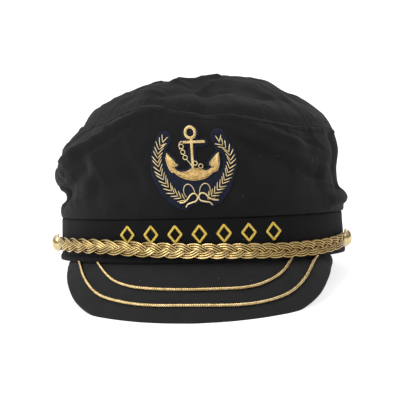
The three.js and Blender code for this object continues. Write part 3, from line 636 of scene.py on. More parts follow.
def tip_surface(azimuth, radius):
    seam = plain_side(azimuth, np.ones_like(radius))
    folds, _ = side_fold_heights(azimuth, np.ones_like(radius), side_folds)
    seam = seam + np.expand_dims(folds, -1) * side_normal(azimuth, np.ones_like(radius))
    summit_z = band_height + gap + crown_side_height + tip_rise
    right = (1 + np.sin(azimuth)) / 2
    left_lift, right_lift = (read_table(tip_sections, radius, k) for k in (1, 2))
    lift = left_lift * (1 - right) + right_lift * right
    x = summit_right + (seam[..., 0] - summit_right) * radius
    y = summit_back + (seam[..., 1] - summit_back) * radius
    z = seam[..., 2] + (summit_z - seam[..., 2]) * lift
    inside = (1 - radius) * tip_reach
    z = z + fold_heights(x, y, in_plan(tip_folds)) * ease((1 - radius) / 0.25)
    z = z + fold_heights(x, y, in_plan(tip_creases)) * ease((1 - radius) / 0.12)
    z = z + crumpled(spread(x, y, 0), 0.8, 8, 1.4, 21) * ease((1 - radius) / 0.1)
    z = z + pucker(azimuth + 0.4, inside) * 1.2 - tip_seam_groove * near(inside, 0.0011)
    return spread(x, y, z)


tip_radii = 1 - np.linspace(0, 1, 91) ** 1.25
round_grid, radius_grid = crossed(azimuths, tip_radii)
tip_outer = tip_surface(round_grid, radius_grid)
tip_outer[..., 2] += gap * 0.6
tip_normal = normal_of(tip_surface, round_grid, np.clip(radius_grid, 0.02, 0.98), -0.01)
inner_pick = np.arange(90, -1, -6)
tip_inner = (tip_outer - crown_wall * tip_normal)[:, inner_pick]
tip_inner[:, 0] = tip_inner[:, 0].mean(0)
tip_grid = np.concatenate([tip_outer, tip_inner], 1)
closed_tip = np.concatenate([tip_grid, tip_grid[:1]])
tip_weave = np.concatenate([closed_tip, closed_tip[:, :1]], 1)[..., :2]
tip_ridges = fold_heights(tip_outer[..., 0], tip_outer[..., 1], in_plan(tip_creases))
tip_ridges = np.maximum(0, tip_ridges) / 0.0009 * 0.35
tip_worn = tip_ridges + 0.35 * near(1 - radius_grid, 0.02)
tip_wear = np.concatenate([tip_worn, tip_inner[..., 0] * 0], 1)
crown_tip = cloth_piece("tip_cloth", tip_grid, tip_weave, (True, True), tip_wear)
fitted(crown_tip, cotton, "black_cotton", "crown_tip")


# ---- Topstitching ------------------------------------------------------------------------------------
# Black cotton thread, in two rows of lockstitch along the tip seam, one on the side and one on the tip.
# Each stitch lies in a small dent and rises at its middle.
stitch_pitch = 0.0029
stitch_length = 0.0023
stitch_thickness = 0.00042
stitch_flattened = 0.8
stitch_proud = 0.00008
stitch_from_seam = 0.0028
row_points = 900


class Recipe(Network):
    """A Geometry Nodes tree with named inputs and a material, which is run once on an object and
    then taken off."""

    kinds = {float: "Float", int: "Int", bpy.types.Material: "Material"}

    def __init__(self, name, **sizes):
        super().__init__(bpy.data.node_groups.new(name, "GeometryNodeTree"))
        sockets = self.tree.interface
        for way in ("INPUT", "OUTPUT"):
            sockets.new_socket("Geometry", in_out=way, socket_type="NodeSocketGeometry")
        self.names = {}
        for size, kind in {**sizes, "Material": bpy.types.Material}.items():
            kind = "NodeSocket" + self.kinds[kind]
            self.names[size] = sockets.new_socket(size, in_out="INPUT", socket_type=kind).identifier
        self.given = self.tree.nodes.new("NodeGroupInput")

    def input(self, name):
        return Socket(self, self.given.outputs[name])

    def lines(self):
        return self.node("GeometryNodeMeshToCurve", {"Mesh": self.input("Geometry")})

    def copies(self, lines, amount):
        values = {"Geometry": lines, "Amount": amount}
        return self.node("GeometryNodeDuplicateElements", values, domain="SPLINE")

    def moved(self, shape, offset):
        return self.node("GeometryNodeSetPosition", {"Geometry": shape, "Offset": offset})

    def vector(self, operation, a, b=None, out=0):
        """A sum with vectors, of which SCALE takes a number as the second value."""
        values = {0: a} if b is None else {0: a, "Scale" if operation == "SCALE" else 1: b}
        return self.node("ShaderNodeVectorMath", values, out, operation=operation)

    def named(self, name, kind="FLOAT_VECTOR"):
        return self.node("GeometryNodeInputNamedAttribute", {"Name": name}, data_type=kind)

    def stored(self, shape, name, value, kind="FLOAT_VECTOR"):
        values = {"Geometry": shape, "Name": name, "Value": value}
        return self.node("GeometryNodeStoreNamedAttribute", values, data_type=kind)

    def done(self, shape):
        whole = self.node("GeometryNodeRealizeInstances", {"Geometry": shape})
        smooth = self.node("GeometryNodeSetShadeSmooth", {"Geometry": whole})
        values = {"Geometry": smooth, "Material": self.input("Material")}
        painted = self.node("GeometryNodeSetMaterial", values)
        self.join(painted, self.tree.nodes.new("NodeGroupOutput").inputs[0])

    def piece(self, name, lines, slot, *nodes, **sizes):
        """Runs the tree on a set of lines, and fits the result to the cap as a plain mesh."""
        source = placed(name, lines)
        modifier = source.modifiers.new(self.tree.name, "NODES")
        modifier.node_group = self.tree
        for size, value in sizes.items():
            modifier[self.names[size]] = value
        seen = source.evaluated_get(bpy.context.evaluated_depsgraph_get())
        mesh = bpy.data.meshes.new_from_object(seen)
        mesh.name = name
        source.modifiers.clear()
        source.data = mesh
        bpy.data.meshes.remove(lines)
        fitted(source, None, slot, *nodes)


def drawn_lines(name, lines, closed=False, **values):
    """Open or closed lines of points as one mesh, with a vector or a number at each point for each
    name given."""
    starts = np.cumsum([0] + [len(line) for line in lines])
    edges = []
    for start, line in zip(starts, lines):
        edges += [(start + k, start + k + 1) for k in range(len(line) - 1)]
        if closed:
            edges.append((start + len(line) - 1, start))
    mesh = bpy.data.meshes.new(name)
    mesh.from_pydata(laid(np.concatenate(lines)), edges, [])
    for key, parts in values.items():
        joined = np.concatenate([np.asarray(part, float) for part in parts])
        kind, field = "FLOAT", "value"
        if joined.ndim == 2:
            kind, field, joined = "FLOAT_VECTOR", "vector", laid_direction(joined).ravel()
        mesh.attributes.new(key, kind, "POINT").data.foreach_set(field, joined.astype(np.float32))
    return mesh


# One stitch is a low bead of thread. It lies along the vector named lie, with its round side towards
# the vector named off.
stitches = Recipe("Row of stitches", Pitch=float, Length=float, Thickness=float, Height=float)
stitch_places = stitches.node(
    "GeometryNodeResampleCurve", {"Curve": stitches.lines(), "Length": stitches.input("Pitch")},
    mode="LENGTH")
bead = stitches.node("GeometryNodeMeshUVSphere", {"Segments": 8, "Rings": 6, "Radius": 0.5})
bead_size = stitches.node("ShaderNodeCombineXYZ", {
    0: stitches.input("Length"), 1: stitches.input("Thickness"), 2: stitches.input("Height")})
turned_to = "FunctionNodeAlignRotationToVector"
along_lie = stitches.node(turned_to, {"Vector": stitches.named("lie")}, axis="X")
upright = stitches.node(
    turned_to, {"Rotation": along_lie, "Vector": stitches.named("off")}, axis="Z", pivot_axis="X")
stitches.done(stitches.node("GeometryNodeInstanceOnPoints", {
    "Points": stitch_places, "Instance": bead, "Rotation": upright, "Scale": bead_size}))

sewing_thread = Finish("black_thread", {
    "Base Color": (0.008, 0.0078, 0.0084, 1.0), "Sheen Weight": 0.03})
thread_fuzz = sewing_thread.noise(2600.0)
thread_bump = sewing_thread.raised(thread_fuzz, 0.0001, 0.6)
sewing_thread.shows(Roughness=0.7 + thread_fuzz * 0.25, Normal=thread_bump)
row_turn = full_turn(row_points)


def seam_row(name, surface, share, normal):
    line = surface(row_turn, np.full(row_points, share)) + stitch_proud * normal
    lie = unit(np.roll(line, -1, 0) - np.roll(line, 1, 0))
    lines = drawn_lines(name, [line], closed=True, lie=[lie], off=[normal])
    stitches.piece(
        name, lines, "black_cotton", Pitch=stitch_pitch, Length=stitch_length,
        Thickness=stitch_thickness, Height=stitch_thickness * stitch_flattened,
        Material=sewing_thread.material)


side_share = 1 - stitch_from_seam / (crown_side_height * 0.95)
side_off = side_normal(row_turn, np.full(row_points, side_share))
seam_row("stitches_side", side_surface, side_share, side_off)
tip_share = 1 - stitch_from_seam / tip_reach
tip_off = normal_of(tip_surface, row_turn, np.full(row_points, tip_share), -0.01)
seam_row("stitches_tip", lambda a, r: tip_surface(a, r) + (0, 0, gap * 0.6), tip_share, tip_off)


# ---- Peak --------------------------------------------------------------------------------------------
# A bent board covered on both faces with the same cotton, stretched smooth, and sewn in under the front
# of the band. Its outer edge is turned and rounded.
peak_thickness = 0.0026
peak_reach = 0.037
peak_drop = 0.0294
peak_end = 66
peak_end_width = 0.003
peak_root_inset = 0.0016
peak_tuck = 0.0003
peak_tuck_length = 0.004
peak_bow = 0.12
peak_edge_wear = 0.35

# azimuth, then the outer edge's reach forward and its drop as shares
peak_edge = (
    (0, 1.0, 1.0), (12, 0.945, 0.985), (22, 0.86, 0.945), (31, 0.765, 0.845), (40, 0.61, 0.6),
    (49, 0.385, 0.29), (58, 0.15, 0.08), (66, 0.0, 0.0),
)


def peak_surface(azimuth, share):
    turn = abs(np.degrees(azimuth))
    reach = peak_reach * read_table(peak_edge, turn, 1) + peak_end_width * 0.5
    drop = peak_drop * read_table(peak_edge, turn, 2) + peak_end_width
    bow = peak_bow * share * (1 - share)
    root = band_point(azimuth, 0 * share, -peak_root_inset + 0 * share)
    outwards = np.expand_dims(reach * share, -1) * band_normal(azimuth)
    tucked = (gap + peak_tuck) * (1 - ease(reach * share / peak_tuck_length))
    return root + outwards - spread(0, 0, gap + drop * (share - bow) - tucked)


def peak_normal(azimuth, share):
    return normal_of(peak_surface, azimuth, np.clip(share, 0.01, 0.99), -0.01)


peak_turns = np.radians(np.linspace(-peak_end, peak_end, 261))
peak_shares = np.linspace(0, 0.965, 44)
round_grid, share_grid = crossed(peak_turns, peak_shares)
upper = peak_surface(round_grid, share_grid)
below = peak_normal(round_grid, share_grid)
swell = 0.00012 * np.sin(round_grid * 19 + 1) * np.sin(share_grid * 9)
swell = swell + 0.00008 * np.sin(round_grid * 43)
upper = upper + np.expand_dims(swell * ease(share_grid / 0.1), -1) * below
lower = (upper - peak_thickness * below)[:, ::-1]
edge_middle = (upper[:, -1] + lower[:, 0]) / 2
edge_up = (upper[:, -1] - lower[:, 0]) / 2
edge_out = unit(upper[:, -1] - upper[:, -2]) * peak_thickness / 2
edge_turns = np.linspace(0, math.pi, 9)[1:-1]
edge = [edge_middle + edge_up * math.cos(t) + edge_out * math.sin(t) for t in edge_turns]
peak_grid = np.concatenate([upper, np.stack(edge, 1), lower], 1)
peak_across = np.linspace(0, 2 * peak_reach, peak_grid.shape[1] + 1)
peak_weave = np.stack(crossed(peak_turns * band_half_length, peak_across), -1)
peak_wear = np.zeros(peak_grid.shape[:2])
peak_wear[:, len(peak_shares):len(peak_shares) + len(edge)] = peak_edge_wear
peak = cloth_piece("peak_cloth", peak_grid, peak_weave, (False, True), peak_wear)
# The peak's cotton is the same cloth made paler, as painted light.
peak_cotton = black_cotton("peak_cotton", lift=1.35)
fitted(peak, peak_cotton, "black_cotton", "peak")


# ---- Peak cords --------------------------------------------------------------------------------------
# Two twisted gold cords sewn across the peak, one inside the other. Each is three plies of wound gold
# thread, 1.9 mm thick, and its ends are tucked in under the band.
peak_cord_diameter = 0.0019
peak_cord_plies = 3
peak_cord_lay = 0.0039
peak_cord_press = 0.0001
ply_off_axis = 0.27
ply_radius = 0.3

# azimuth, then the share of the way from the peak's root to its edge
inner_route = (
    (-42.5, 0.02), (-39, 0.12), (-35.5, 0.22), (-29, 0.36), (-21, 0.445), (-10, 0.48), (8, 0.495),
    (16, 0.495), (22, 0.455), (29, 0.35), (34, 0.23), (37, 0.12), (39.7, 0.02),
)
outer_route = (
    (-56, 0.02), (-51, 0.24), (-46.7, 0.4), (-41, 0.53), (-34, 0.64), (-25, 0.7), (-14, 0.74),
    (0, 0.745), (14, 0.77), (24, 0.74), (34, 0.645), (41, 0.51), (46, 0.37), (49.5, 0.24),
    (55, 0.02),
)


def swept(recipe, line, radius):
    """Sweeps a round section along lines, and keeps where each point is round it and along it."""
    length = recipe.node("GeometryNodeSplineParameter", out="Length")
    line = recipe.stored(line, "along", length, "FLOAT")
    values = {"Resolution": recipe.input("Sides"), "Radius": 1.0}
    ring = recipe.node("GeometryNodeCurvePrimitiveCircle", values)
    ring = recipe.stored(ring, "rim", recipe.node("GeometryNodeInputPosition"))
    values = {"Curve": line, "Profile Curve": ring, "Scale": radius, "Fill Caps": True}
    tube = recipe.node("GeometryNodeCurveToMesh", values)
    rim = recipe.split(recipe.named("rim"))
    along = recipe.named("along", "FLOAT")
    wound = recipe.node("ShaderNodeCombineXYZ", {0: rim, 1: rim.other(1), 2: along})
    return recipe.stored(tube, "wound", wound)


def flanks(recipe, tube, way):
    """Keeps how far each point of a tube faces along a vector, either way, for painted shade between
    cords.
    """
    normal = recipe.node("GeometryNodeInputNormal")
    facing = recipe.vector("DOT_PRODUCT", normal, way, "Value")
    return recipe.stored(tube, "flank", facing.maths("ABSOLUTE", facing), "FLOAT")


# Plies of a cord that turn round each other once in every Lay of its length
twisted = Recipe("Twisted cord", Diameter=float, Plies=int, Lay=float, Sides=int)
plies = twisted.copies(twisted.lines(), twisted.input("Plies"))
run = twisted.node("GeometryNodeSplineParameter", out="Length")
lay_turn = run / twisted.input("Lay") + plies.other(1) / twisted.input("Plies")
lay_angle = lay_turn * (2 * math.pi)
helix_radius = twisted.input("Diameter") * ply_off_axis
off_axis = twisted.vector("SCALE", twisted.named("off"), lay_angle.sine() * helix_radius)
side_axis = twisted.vector("SCALE", twisted.named("lie"), lay_angle.cosine() * helix_radius)
helix = twisted.stored(plies, "apart", twisted.vector("ADD", off_axis, side_axis))
helix = twisted.moved(helix, twisted.named("apart"))
ply = swept(twisted, helix, twisted.input("Diameter") * ply_radius)
outwards = twisted.vector("NORMALIZE", twisted.named("apart"))
round_ply = twisted.vector("CROSS_PRODUCT", outwards, twisted.named("run"))
twisted.done(flanks(twisted, ply, round_ply))


# Gold thread wound round a core, once in every pitch, with painted light on its turns and painted
# shade between them, and painted shade on its flanks where it meets the next ply or cord. A lean under
# 1 lays its turns less aslant, and one share puts painted shade on it towards the cap's right.
def wound_gold(name, pitch, bright, brown, roughness, depth, lean=1.0, grain=210.0, painted_flank_shade=0.95,
               painted_shade_right=0.0):
    gold = Finish(name, {"Metallic": 1.0})
    rim = gold.split(gold.attribute("wound", "Vector"))
    phase = rim.other(2) * (2 * math.pi / pitch)
    turns = (phase.sine() * rim + phase.cosine() * rim.other(1) * lean) * 0.5 + 0.5
    tarnish = gold.noise(grain, 3.0)
    glint = gold.noise(1900.0, 1.0)
    # painted shade on the flanks, where each ply or cord meets the next
    flank = gold.attribute("flank").within(0.55, 0.98)
    # painted shade towards the cap's right
    right = gold.split(gold.place()).within(0.02, 0.085) * painted_shade_right
    # shade mixes painted light on the turns and painted shade between them with random tarnish
    shade = (turns * 0.5 + tarnish * 0.9).within(0.3, 1.0) * (1 - flank * painted_flank_shade) * (1 - right)
    gold.shows(
        Base_Color=gold.mixed(shade, brown, bright),
        Roughness=roughness + tarnish * 0.16 - glint * 0.1,
        Normal=gold.raised(turns * 0.8 + glint * 0.2, depth),
    )
    return gold.material


cord_gold = wound_gold(
    "cord_gold", 0.0005, (0.94, 0.75, 0.41), (0.38, 0.23, 0.07), 0.17, 0.00005, painted_flank_shade=0.85)


def peak_cord(name, route, node):
    turn = np.linspace(route[0][0], route[-1][0], 560)
    share = read_table(route, turn, 1)
    azimuth = np.radians(turn)
    off = peak_normal(azimuth, share)
    line = peak_surface(azimuth, share) + (peak_cord_diameter / 2 - peak_cord_press) * off
    along = unit(np.gradient(line, axis=0))
    lines = drawn_lines(name, [line], lie=[np.cross(off, along)], off=[off], run=[along])
    twisted.piece(name, lines, "gold_gimp", node, Diameter=peak_cord_diameter,
                  Plies=peak_cord_plies, Lay=peak_cord_lay, Sides=8, Material=cord_gold)


peak_cord("inner_cord", inner_route, "peak_cord_inner")
peak_cord("outer_cord", outer_route, "peak_cord_outer")


# ---- Strap -------------------------------------------------------------------------------------------
# A chin strap of nine bright gold cords, plaited flat in three strands of three. It lies across the
# front of the band over the hem, and narrows where its ends run in under the buttons.
strap_end = 80
strap_end_flat = 0.5
strap_end_length = 0.012
strap_end_narrow = 0.86
strand_thickness = 0.00135
plait_half_width = 0.0028
plait_bulge = -0.03
plait_half_depth = 0.00088
plait_pitch = 0.0273
cord_spacing = 0.00142
cord_thickness = 0.00132
shank_radius = 0.0012

# how much the plait is longer pitched at its ends, and more so on the left, then how much flatter and
# narrower it is pulled there
plait_loosened = 0.12
plait_loosened_left = 0.055
plait_flattened = 0.3
plait_narrowed = 0.16

# turn as a share of the strap's end azimuth, then its middle line's height as a share of the band's
strap_line = (
    (-1, 0.4), (-0.5, 0.39), (-0.24, 0.325), (0, 0.27), (0.24, 0.235), (0.45, 0.21), (0.7, 0.235),
    (1, 0.345),
)
strap_depth = plait_half_depth + strand_thickness / 2

# Cords side by side, spaced along the vector named across
flat_strand = Recipe("Strand of cords", Cords=int, Spacing=float, Diameter=float, Sides=int)
cords = flat_strand.copies(flat_strand.lines(), flat_strand.input("Cords"))
from_middle = cords.other(1) - (flat_strand.input("Cords") - 1) * 0.5
cord_place = from_middle * flat_strand.input("Spacing")
cord_offset = flat_strand.vector("SCALE", flat_strand.named("across"), cord_place)
cord_lines = flat_strand.moved(cords, cord_offset)
cord_tube = swept(flat_strand, cord_lines, flat_strand.input("Diameter") * 0.5)
level = flat_strand.vector("NORMALIZE", flat_strand.named("across"))
flat_strand.done(flanks(flat_strand, cord_tube, level))

# The strap gets painted shade towards its right end.
strap_gold = wound_gold(
    "strap_gold", 0.00075, (0.97, 0.75, 0.34), (0.20, 0.11, 0.025), 0.1, 0.00003, painted_shade_right=0.55)


def strap_height(share):
    return band_height * read_table(strap_line, share, 1)


def strap_run(azimuth):
    """The length along the strap from its middle to an azimuth."""
    turn = np.linspace(0, azimuth, 400)
    line = band_point(turn, 0 * turn, strap_depth + 0 * turn)
    return np.linalg.norm(np.diff(line, axis=0), axis=1).sum()


def strand(number):
    end = math.radians(strap_end) - (shank_radius + gap + strand_thickness) / band_half_length
    half = strap_run(end)
    share = np.linspace(-1, 1, 420)
    azimuth, along = share * end, share * half
    from_end = ease((half - abs(along)) / strap_end_length)
    flat = strap_end_flat + (1 - strap_end_flat) * from_end
    loosened = 1 - plait_loosened * abs(share) + plait_loosened_left * share
    turn = along * loosened / plait_pitch * 2 * math.pi + number * 2 * math.pi / 3
    swing = (np.cos(turn) + plait_bulge * np.cos(3 * turn)) / (1 + plait_bulge)
    pulled = 1 - plait_flattened * share**2
    depth = strap_depth + pulled * plait_half_depth * np.sin(2 * turn)
    half_width = plait_half_width * (1 - plait_narrowed * share**4)
    height = strap_height(azimuth / math.radians(strap_end)) + half_width * swing
    line = band_point(azimuth, height, gap + hem_proud * from_end + flat * depth)
    across = np.cross(band_normal(azimuth), unit(np.gradient(line, axis=0)))
    bunched = strap_end_narrow + (1 - strap_end_narrow) * from_end
    bunched = bunched * (1 - 0.05 * np.cos(turn) ** 6)
    name = f"strap_strand_{number + 1}"
    lines = drawn_lines(name, [line], across=[bunched[:, None] * unit(across)])
    flat_strand.piece(
        name, lines, "gold_gimp", f"braid_strand_{number + 1}", Cords=3, Spacing=cord_spacing,
        Diameter=cord_thickness, Sides=10, Material=strap_gold)


for number in range(3):
    strand(number)


# ---- Buttons -----------------------------------------------------------------------------------------
# Two domed brass buttons, stamped and gilt, each on a short shank that goes through the end of the
# strap and the band. A fine rolled rim runs round the dome.
button_diameter = 0.0116
button_dome = 0.0036
button_rim = 0.0007

gilt = Finish("gilt_brass", {"Metallic": 1.0, "Coat Roughness": 0.08})
rubbed = gilt.noise(330.0, 4.0)
scratched = gilt.noise(2400.0, 1.0)
gilt.shows(
    Base_Color=gilt.mixed(rubbed.within(0.3, 0.75), (0.55, 0.42, 0.20), (0.80, 0.66, 0.38)),
    Roughness=0.14 + rubbed * 0.16,
    Normal=gilt.raised(scratched * 0.6 + rubbed * 0.4, 0.00002),
)


def button(name, side, node):
    """A button turned from a profile of places: out from its axis, and off the band."""
    back = gap + 2 * strap_end_flat * strap_depth
    roll = button_rim / 2
    roll_at = button_diameter / 2 - roll
    dome_radius = button_diameter / 2 - button_rim * 0.75
    dome_foot = back + button_rim * 0.8
    dome_rise = button_dome + button_rim * 0.2
    profile = np.array([
        (0, 0), (shank_radius, 0), (shank_radius, back),
        *((roll_at + roll * math.cos(t), back + roll * (1 + math.sin(t)))
          for t in np.linspace(-math.pi / 2, math.pi / 2, 7)),
        *((dome_radius * math.cos(t), dome_foot + dome_rise * math.sin(t))
          for t in np.linspace(0, math.pi / 2, 22)[:-1]),
        (0, back + button_rim + button_dome),
    ])
    azimuth = math.radians(side * strap_end)
    out = band_normal(azimuth)
    along = unit(np.cross((0, 0, 1), out))
    spins = full_turn(72)[:, None]
    ring = np.cos(spins) * along + np.sin(spins) * np.array((0, 0, 1.0))
    middle = band_point(azimuth, strap_height(float(side)), gap)
    grid = middle + profile[None, :, :1] * ring[:, None] + profile[None, :, 1:] * out
    weave = np.zeros((73, len(profile), 2))
    fitted(cloth_piece(name, grid, weave, (True, False)), gilt.material, "gold_button", node)


button("left_button", -1, "button_left")
button("right_button", 1, "button_right")


# ---- Lozenges on the band ----------------------------------------------------------------------------
# Seven open lozenges worked on the band in yellow satin stitch, side by side, with their feet behind
# the strap. The stitches lie close across each bar of the shape.
lozenge_count = 7
lozenge_right = 0.0032
lozenge_pitch = 0.0146
lozenge_width = 0.0094
lozenge_height = 0.0116
lozenge_stroke = 0.0016
lozenge_margin_above = 0.0032
lozenge_off_band = 0.00012
satin_slant = 0.12
satin_pitch = 0.00034
satin_thickness = 0.00046
satin_height = 0.00088

satin = Finish("yellow_satin", {"Sheen Weight": 0.1, "Specular IOR Level": 0.7, "Anisotropic": 0.4})
floss = satin.noise(700.0, 3.0)
satin.shows(
    Base_Color=satin.mixed(floss.within(0.3, 0.7), (0.56, 0.37, 0.035), (0.80, 0.61, 0.10)),
    Roughness=0.34 + floss * 0.2,
    Normal=satin.raised(floss, 0.00005),
)


def on_band(x, y, out):
    azimuth = np.arcsin(x / band_half_width)
    return band_point(azimuth, y, out + 0 * azimuth), band_normal(azimuth)


def lozenge(number):
    middle_x = lozenge_right + (number - (lozenge_count - 1) / 2) * lozenge_pitch
    middle_y = band_height - lozenge_margin_above - lozenge_height / 2
    half = lozenge_stroke / 2
    wide, tall = lozenge_width / 2 - half, lozenge_height / 2 - half
    corners = [(1, 0), (0, 1), (-1, 0), (0, -1), (1, 0)]
    steps = np.linspace(0, 1, 12)
    lines, lies, offs = [], [], []
    for (ax, ay), (bx, by) in zip(corners, corners[1:]):
        x = middle_x + wide * (ax + (bx - ax) * steps)
        y = middle_y + tall * (ay + (by - ay) * steps)
        line, off = on_band(x, y, gap + lozenge_off_band)
        lines.append(line)
        offs.append(off)
        along = unit(np.gradient(line, axis=0))
        lies.append(unit(np.cross(off, along) + satin_slant * along))
    name = f"lozenge_{number + 1}"
    drawn = drawn_lines(name, lines, lie=lies, off=offs)
    stitches.piece(
        name, drawn, "yellow_thread", f"band_motif_{number + 1}", Pitch=satin_pitch,
        Length=lozenge_stroke * 1.08, Thickness=satin_thickness, Height=satin_height,
        Material=satin.material)


for number in range(lozenge_count):
    lozenge(number)


# ---- Badge backing -----------------------------------------------------------------------------------
# Navy wool felt about a millimetre thick, cut by hand round the gold work and sewn to the front of the
# crown. It lies on the cloth, and its cut edge is soft and a little uneven.
felt_thickness = 0.001
felt_margin = 0.0015
felt_rounding = 0.0007
felt_off_cloth = 0.00002

# how far the grid of a flat shape reaches, its step, and how far off its slopes are read, as shares of
# the badge's height
shape_reach = 0.56
shape_step = 0.0075
edge_probe = 1e-4

# shares of the badge's height, from its middle: x to the right and y up
felt_half_height = 0.515
felt_oval_top = -0.04
felt_notch = (0.08, -0.6, 0.18)
felt_waviness = 0.0022
arm_half = 0.085
felt_arm_ends = {-1: (-0.335, 0.278), 1: (0.29, 0.355)}
ring_at = (-0.033, 0.366)
ring_radius = 0.057
bar_half = 0.017
stock_line = ((-0.112, 0.252), (0.135, 0.276))
shank_line = ((-0.018, 0.3), (-0.003, -0.06))

# the anchor's arms in four smooth stretches: under them from tip to tip, the right fluke's inner edge,
# over the arms, and the left fluke's inner edge
crescent_parts = (
    ((-0.295, 0.12), (-0.303, 0.065), (-0.29, 0.008), (-0.266, -0.05), (-0.233, -0.088)),
    ((-0.212, -0.08), (-0.172, -0.114), (-0.111, -0.144), (-0.037, -0.159), (0.025, -0.16),
     (0.111, -0.144), (0.172, -0.113), (0.226, -0.066)),
    ((0.276, -0.052), (0.296, 0.01), (0.299, 0.071), (0.289, 0.167)),
    ((0.178, 0.028), (0.224, -0.006)),
    ((0.203, -0.024), (0.16, -0.05), (0.111, -0.043), (0.049, -0.028), (-0.012, -0.032),
     (-0.061, -0.06), (-0.123, -0.078), (-0.178, -0.066), (-0.219, -0.03)),
    ((-0.166, -0.005),),
)

# the stem of each branch from its foot to its top, as places on the badge
stems = {
    -1: ((-0.1, -0.387), (-0.227, -0.31), (-0.326, -0.187), (-0.388, -0.035), (-0.396, 0.093),
         (-0.372, 0.19), (-0.345, 0.232)),
    1: ((0.15, -0.375), (0.238, -0.297), (0.336, -0.187), (0.408, -0.045), (0.43, 0.07),
        (0.41, 0.165), (0.365, 0.22), (0.302, 0.276)),
}


def smooth_line(points, count=90):
    """A curve through chosen points, evenly stepped."""
    if len(points) < 3:
        return np.array(points, float)
    table = [(k, *point) for k, point in enumerate(points)]
    at = np.linspace(0, len(points) - 1, 6 * count)
    curve = np.stack([read_table(table, at, k + 1) for k in range(len(points[0]))], -1)
    run = np.concatenate([[0], np.linalg.norm(np.diff(curve, axis=0), axis=1).cumsum()])
    even = np.linspace(0, run[-1], count)
    return np.stack([np.interp(even, run, column) for column in curve.T], -1)


crescent = [tuple(p) for part in crescent_parts for p in smooth_line(part, 6 * len(part))]
stem_lines = {side: smooth_line(points) for side, points in stems.items()}
badge_middle = badge_margin_below + badge_height / 2


def on_badge(x, y, out):
    """Points on or over the crown under the badge, and the ways off the cloth there. x and y are
    in metres from the badge's middle."""
    azimuth = np.arcsin((x + badge_right) / band_half_width)
    rise = np.clip((badge_middle + y) / panel_height, 0, 1)
    off = side_normal(azimuth, rise)
    return plain_side(azimuth, rise) + np.expand_dims(out + 0 * azimuth, -1) * off, off


def from_line(x, y, points):
    """Distance from a line of points to each place."""
    best = np.full(np.broadcast(x, y).shape, 1e9)
    for (ax, ay), (bx, by) in zip(points, points[1:]):
        wide, tall = bx - ax, by - ay
        share = np.clip(((x - ax) * wide + (y - ay) * tall) / (wide**2 + tall**2), 0, 1)
        best = np.minimum(best, np.hypot(x - ax - share * wide, y - ay - share * tall))
    return best


def from_outline(x, y, points):
    """Distance from a closed outline to each place, negative inside it."""
    inside = np.zeros(np.broadcast(x, y).shape, bool)
    ring = [*points, points[0]]
    for (ax, ay), (bx, by) in zip(ring, ring[1:]):
        crosses = (ay > y) != (by > y)
        with np.errstate(divide="ignore", invalid="ignore"):
            at = ax + (y - ay) * (bx - ax) / (by - ay if by != ay else 1e-12)
        inside ^= crosses & (x < at)
    return np.where(inside, -1, 1) * from_line(x, y, ring)


def felt_edge(x, y):
    """Distance outside the felt's cut edge, in shares of the badge's height. Negative on the felt."""
    margin = felt_margin / badge_height
    oval = (np.hypot(x / felt_half_width, y / felt_half_height) - 1) * felt_half_width
    ring = np.hypot(x - ring_at[0], y - ring_at[1]) - ring_radius
    bars = [from_line(x, y, line) for line in (stock_line, shank_line)]
    arms = [[*(tuple(p) for p in stem[::6]), felt_arm_ends[side]]
            for side, stem in stem_lines.items()]
    edge = np.minimum.reduce([
        np.maximum(oval, y - felt_oval_top),
        *(from_line(x, y, arm) - arm_half for arm in arms),
        *(gold - bar_half - margin for gold in (ring, *bars)),
        from_outline(x, y, crescent) - margin,
    ])
    edge = np.maximum(edge, felt_notch[2] - np.hypot(x - felt_notch[0], y - felt_notch[1]))
    return edge + felt_waviness * np.sin(x * 61 + y * 23) * np.sin(y * 57 - x * 31)


def raised_shape(name, edge, base, height):
    """A flat shape raised off the badge's cloth, from a grid whose rim is drawn to its edge. edge
    gives the distance outside the shape, and height the rise at a distance inside it."""
    reach = np.arange(-shape_reach, shape_reach, shape_step)
    x, y = crossed(reach, reach)
    far = edge(x, y)
    count = len(reach)
    on_shape = far < -0.25 * shape_step
    cells = on_shape[:-1, :-1] | on_shape[1:, :-1] | on_shape[1:, 1:] | on_shape[:-1, 1:]
    rim = ~on_shape & (abs(far) < 2 * shape_step)
    for _ in range(4):
        slope_x = (edge(x + edge_probe, y) - far) / edge_probe
        slope_y = (edge(x, y + edge_probe) - far) / edge_probe
        push = np.where(rim, far, 0) / np.maximum(slope_x**2 + slope_y**2, 0.2)
        x, y = x - push * slope_x, y - push * slope_y
        far = edge(x, y)
    far = np.where(on_shape, far, 0)
    i, j = np.nonzero(cells)
    corner = i * count + j
    faces = np.stack([corner, corner + count, corner + count + 1, corner + 1], -1)
    used, faces = np.unique(faces, return_inverse=True)
    faces = faces.reshape(-1, 4)
    x, y, far = x.ravel()[used], y.ravel()[used], np.minimum(far.ravel()[used], 0)
    top, off = on_badge(x * badge_height, y * badge_height, base)
    under = top.copy()
    top = top + height(-far * badge_height)[:, None] * off
    mesh = bpy.data.meshes.new(name)
    faces = faces.tolist() + (faces[:, ::-1] + len(x)).tolist()
    mesh.from_pydata(laid(np.concatenate([top, under])), [], faces)
    return smooth_piece(name, mesh, 2e-5, close=False)


felt = Finish("navy_felt", {"Sheen Weight": 0.08, "Sheen Roughness": 0.5,
                            "Specular IOR Level": 0.15, "Sheen Tint": (0.5, 0.6, 0.9, 1.0)})
matted = felt.noise(1500.0, 5.0)
patchy = felt.noise(240.0)
felt_shade = (matted * 0.7 + patchy * 0.5).within(0.3, 0.85)
felt.shows(
    Base_Color=felt.mixed(felt_shade, (0.006, 0.007, 0.014), (0.014, 0.018, 0.034)),
    Roughness=0.9 + matted * 0.1,
    Normal=felt.raised(matted, 0.00035, 0.8),
)


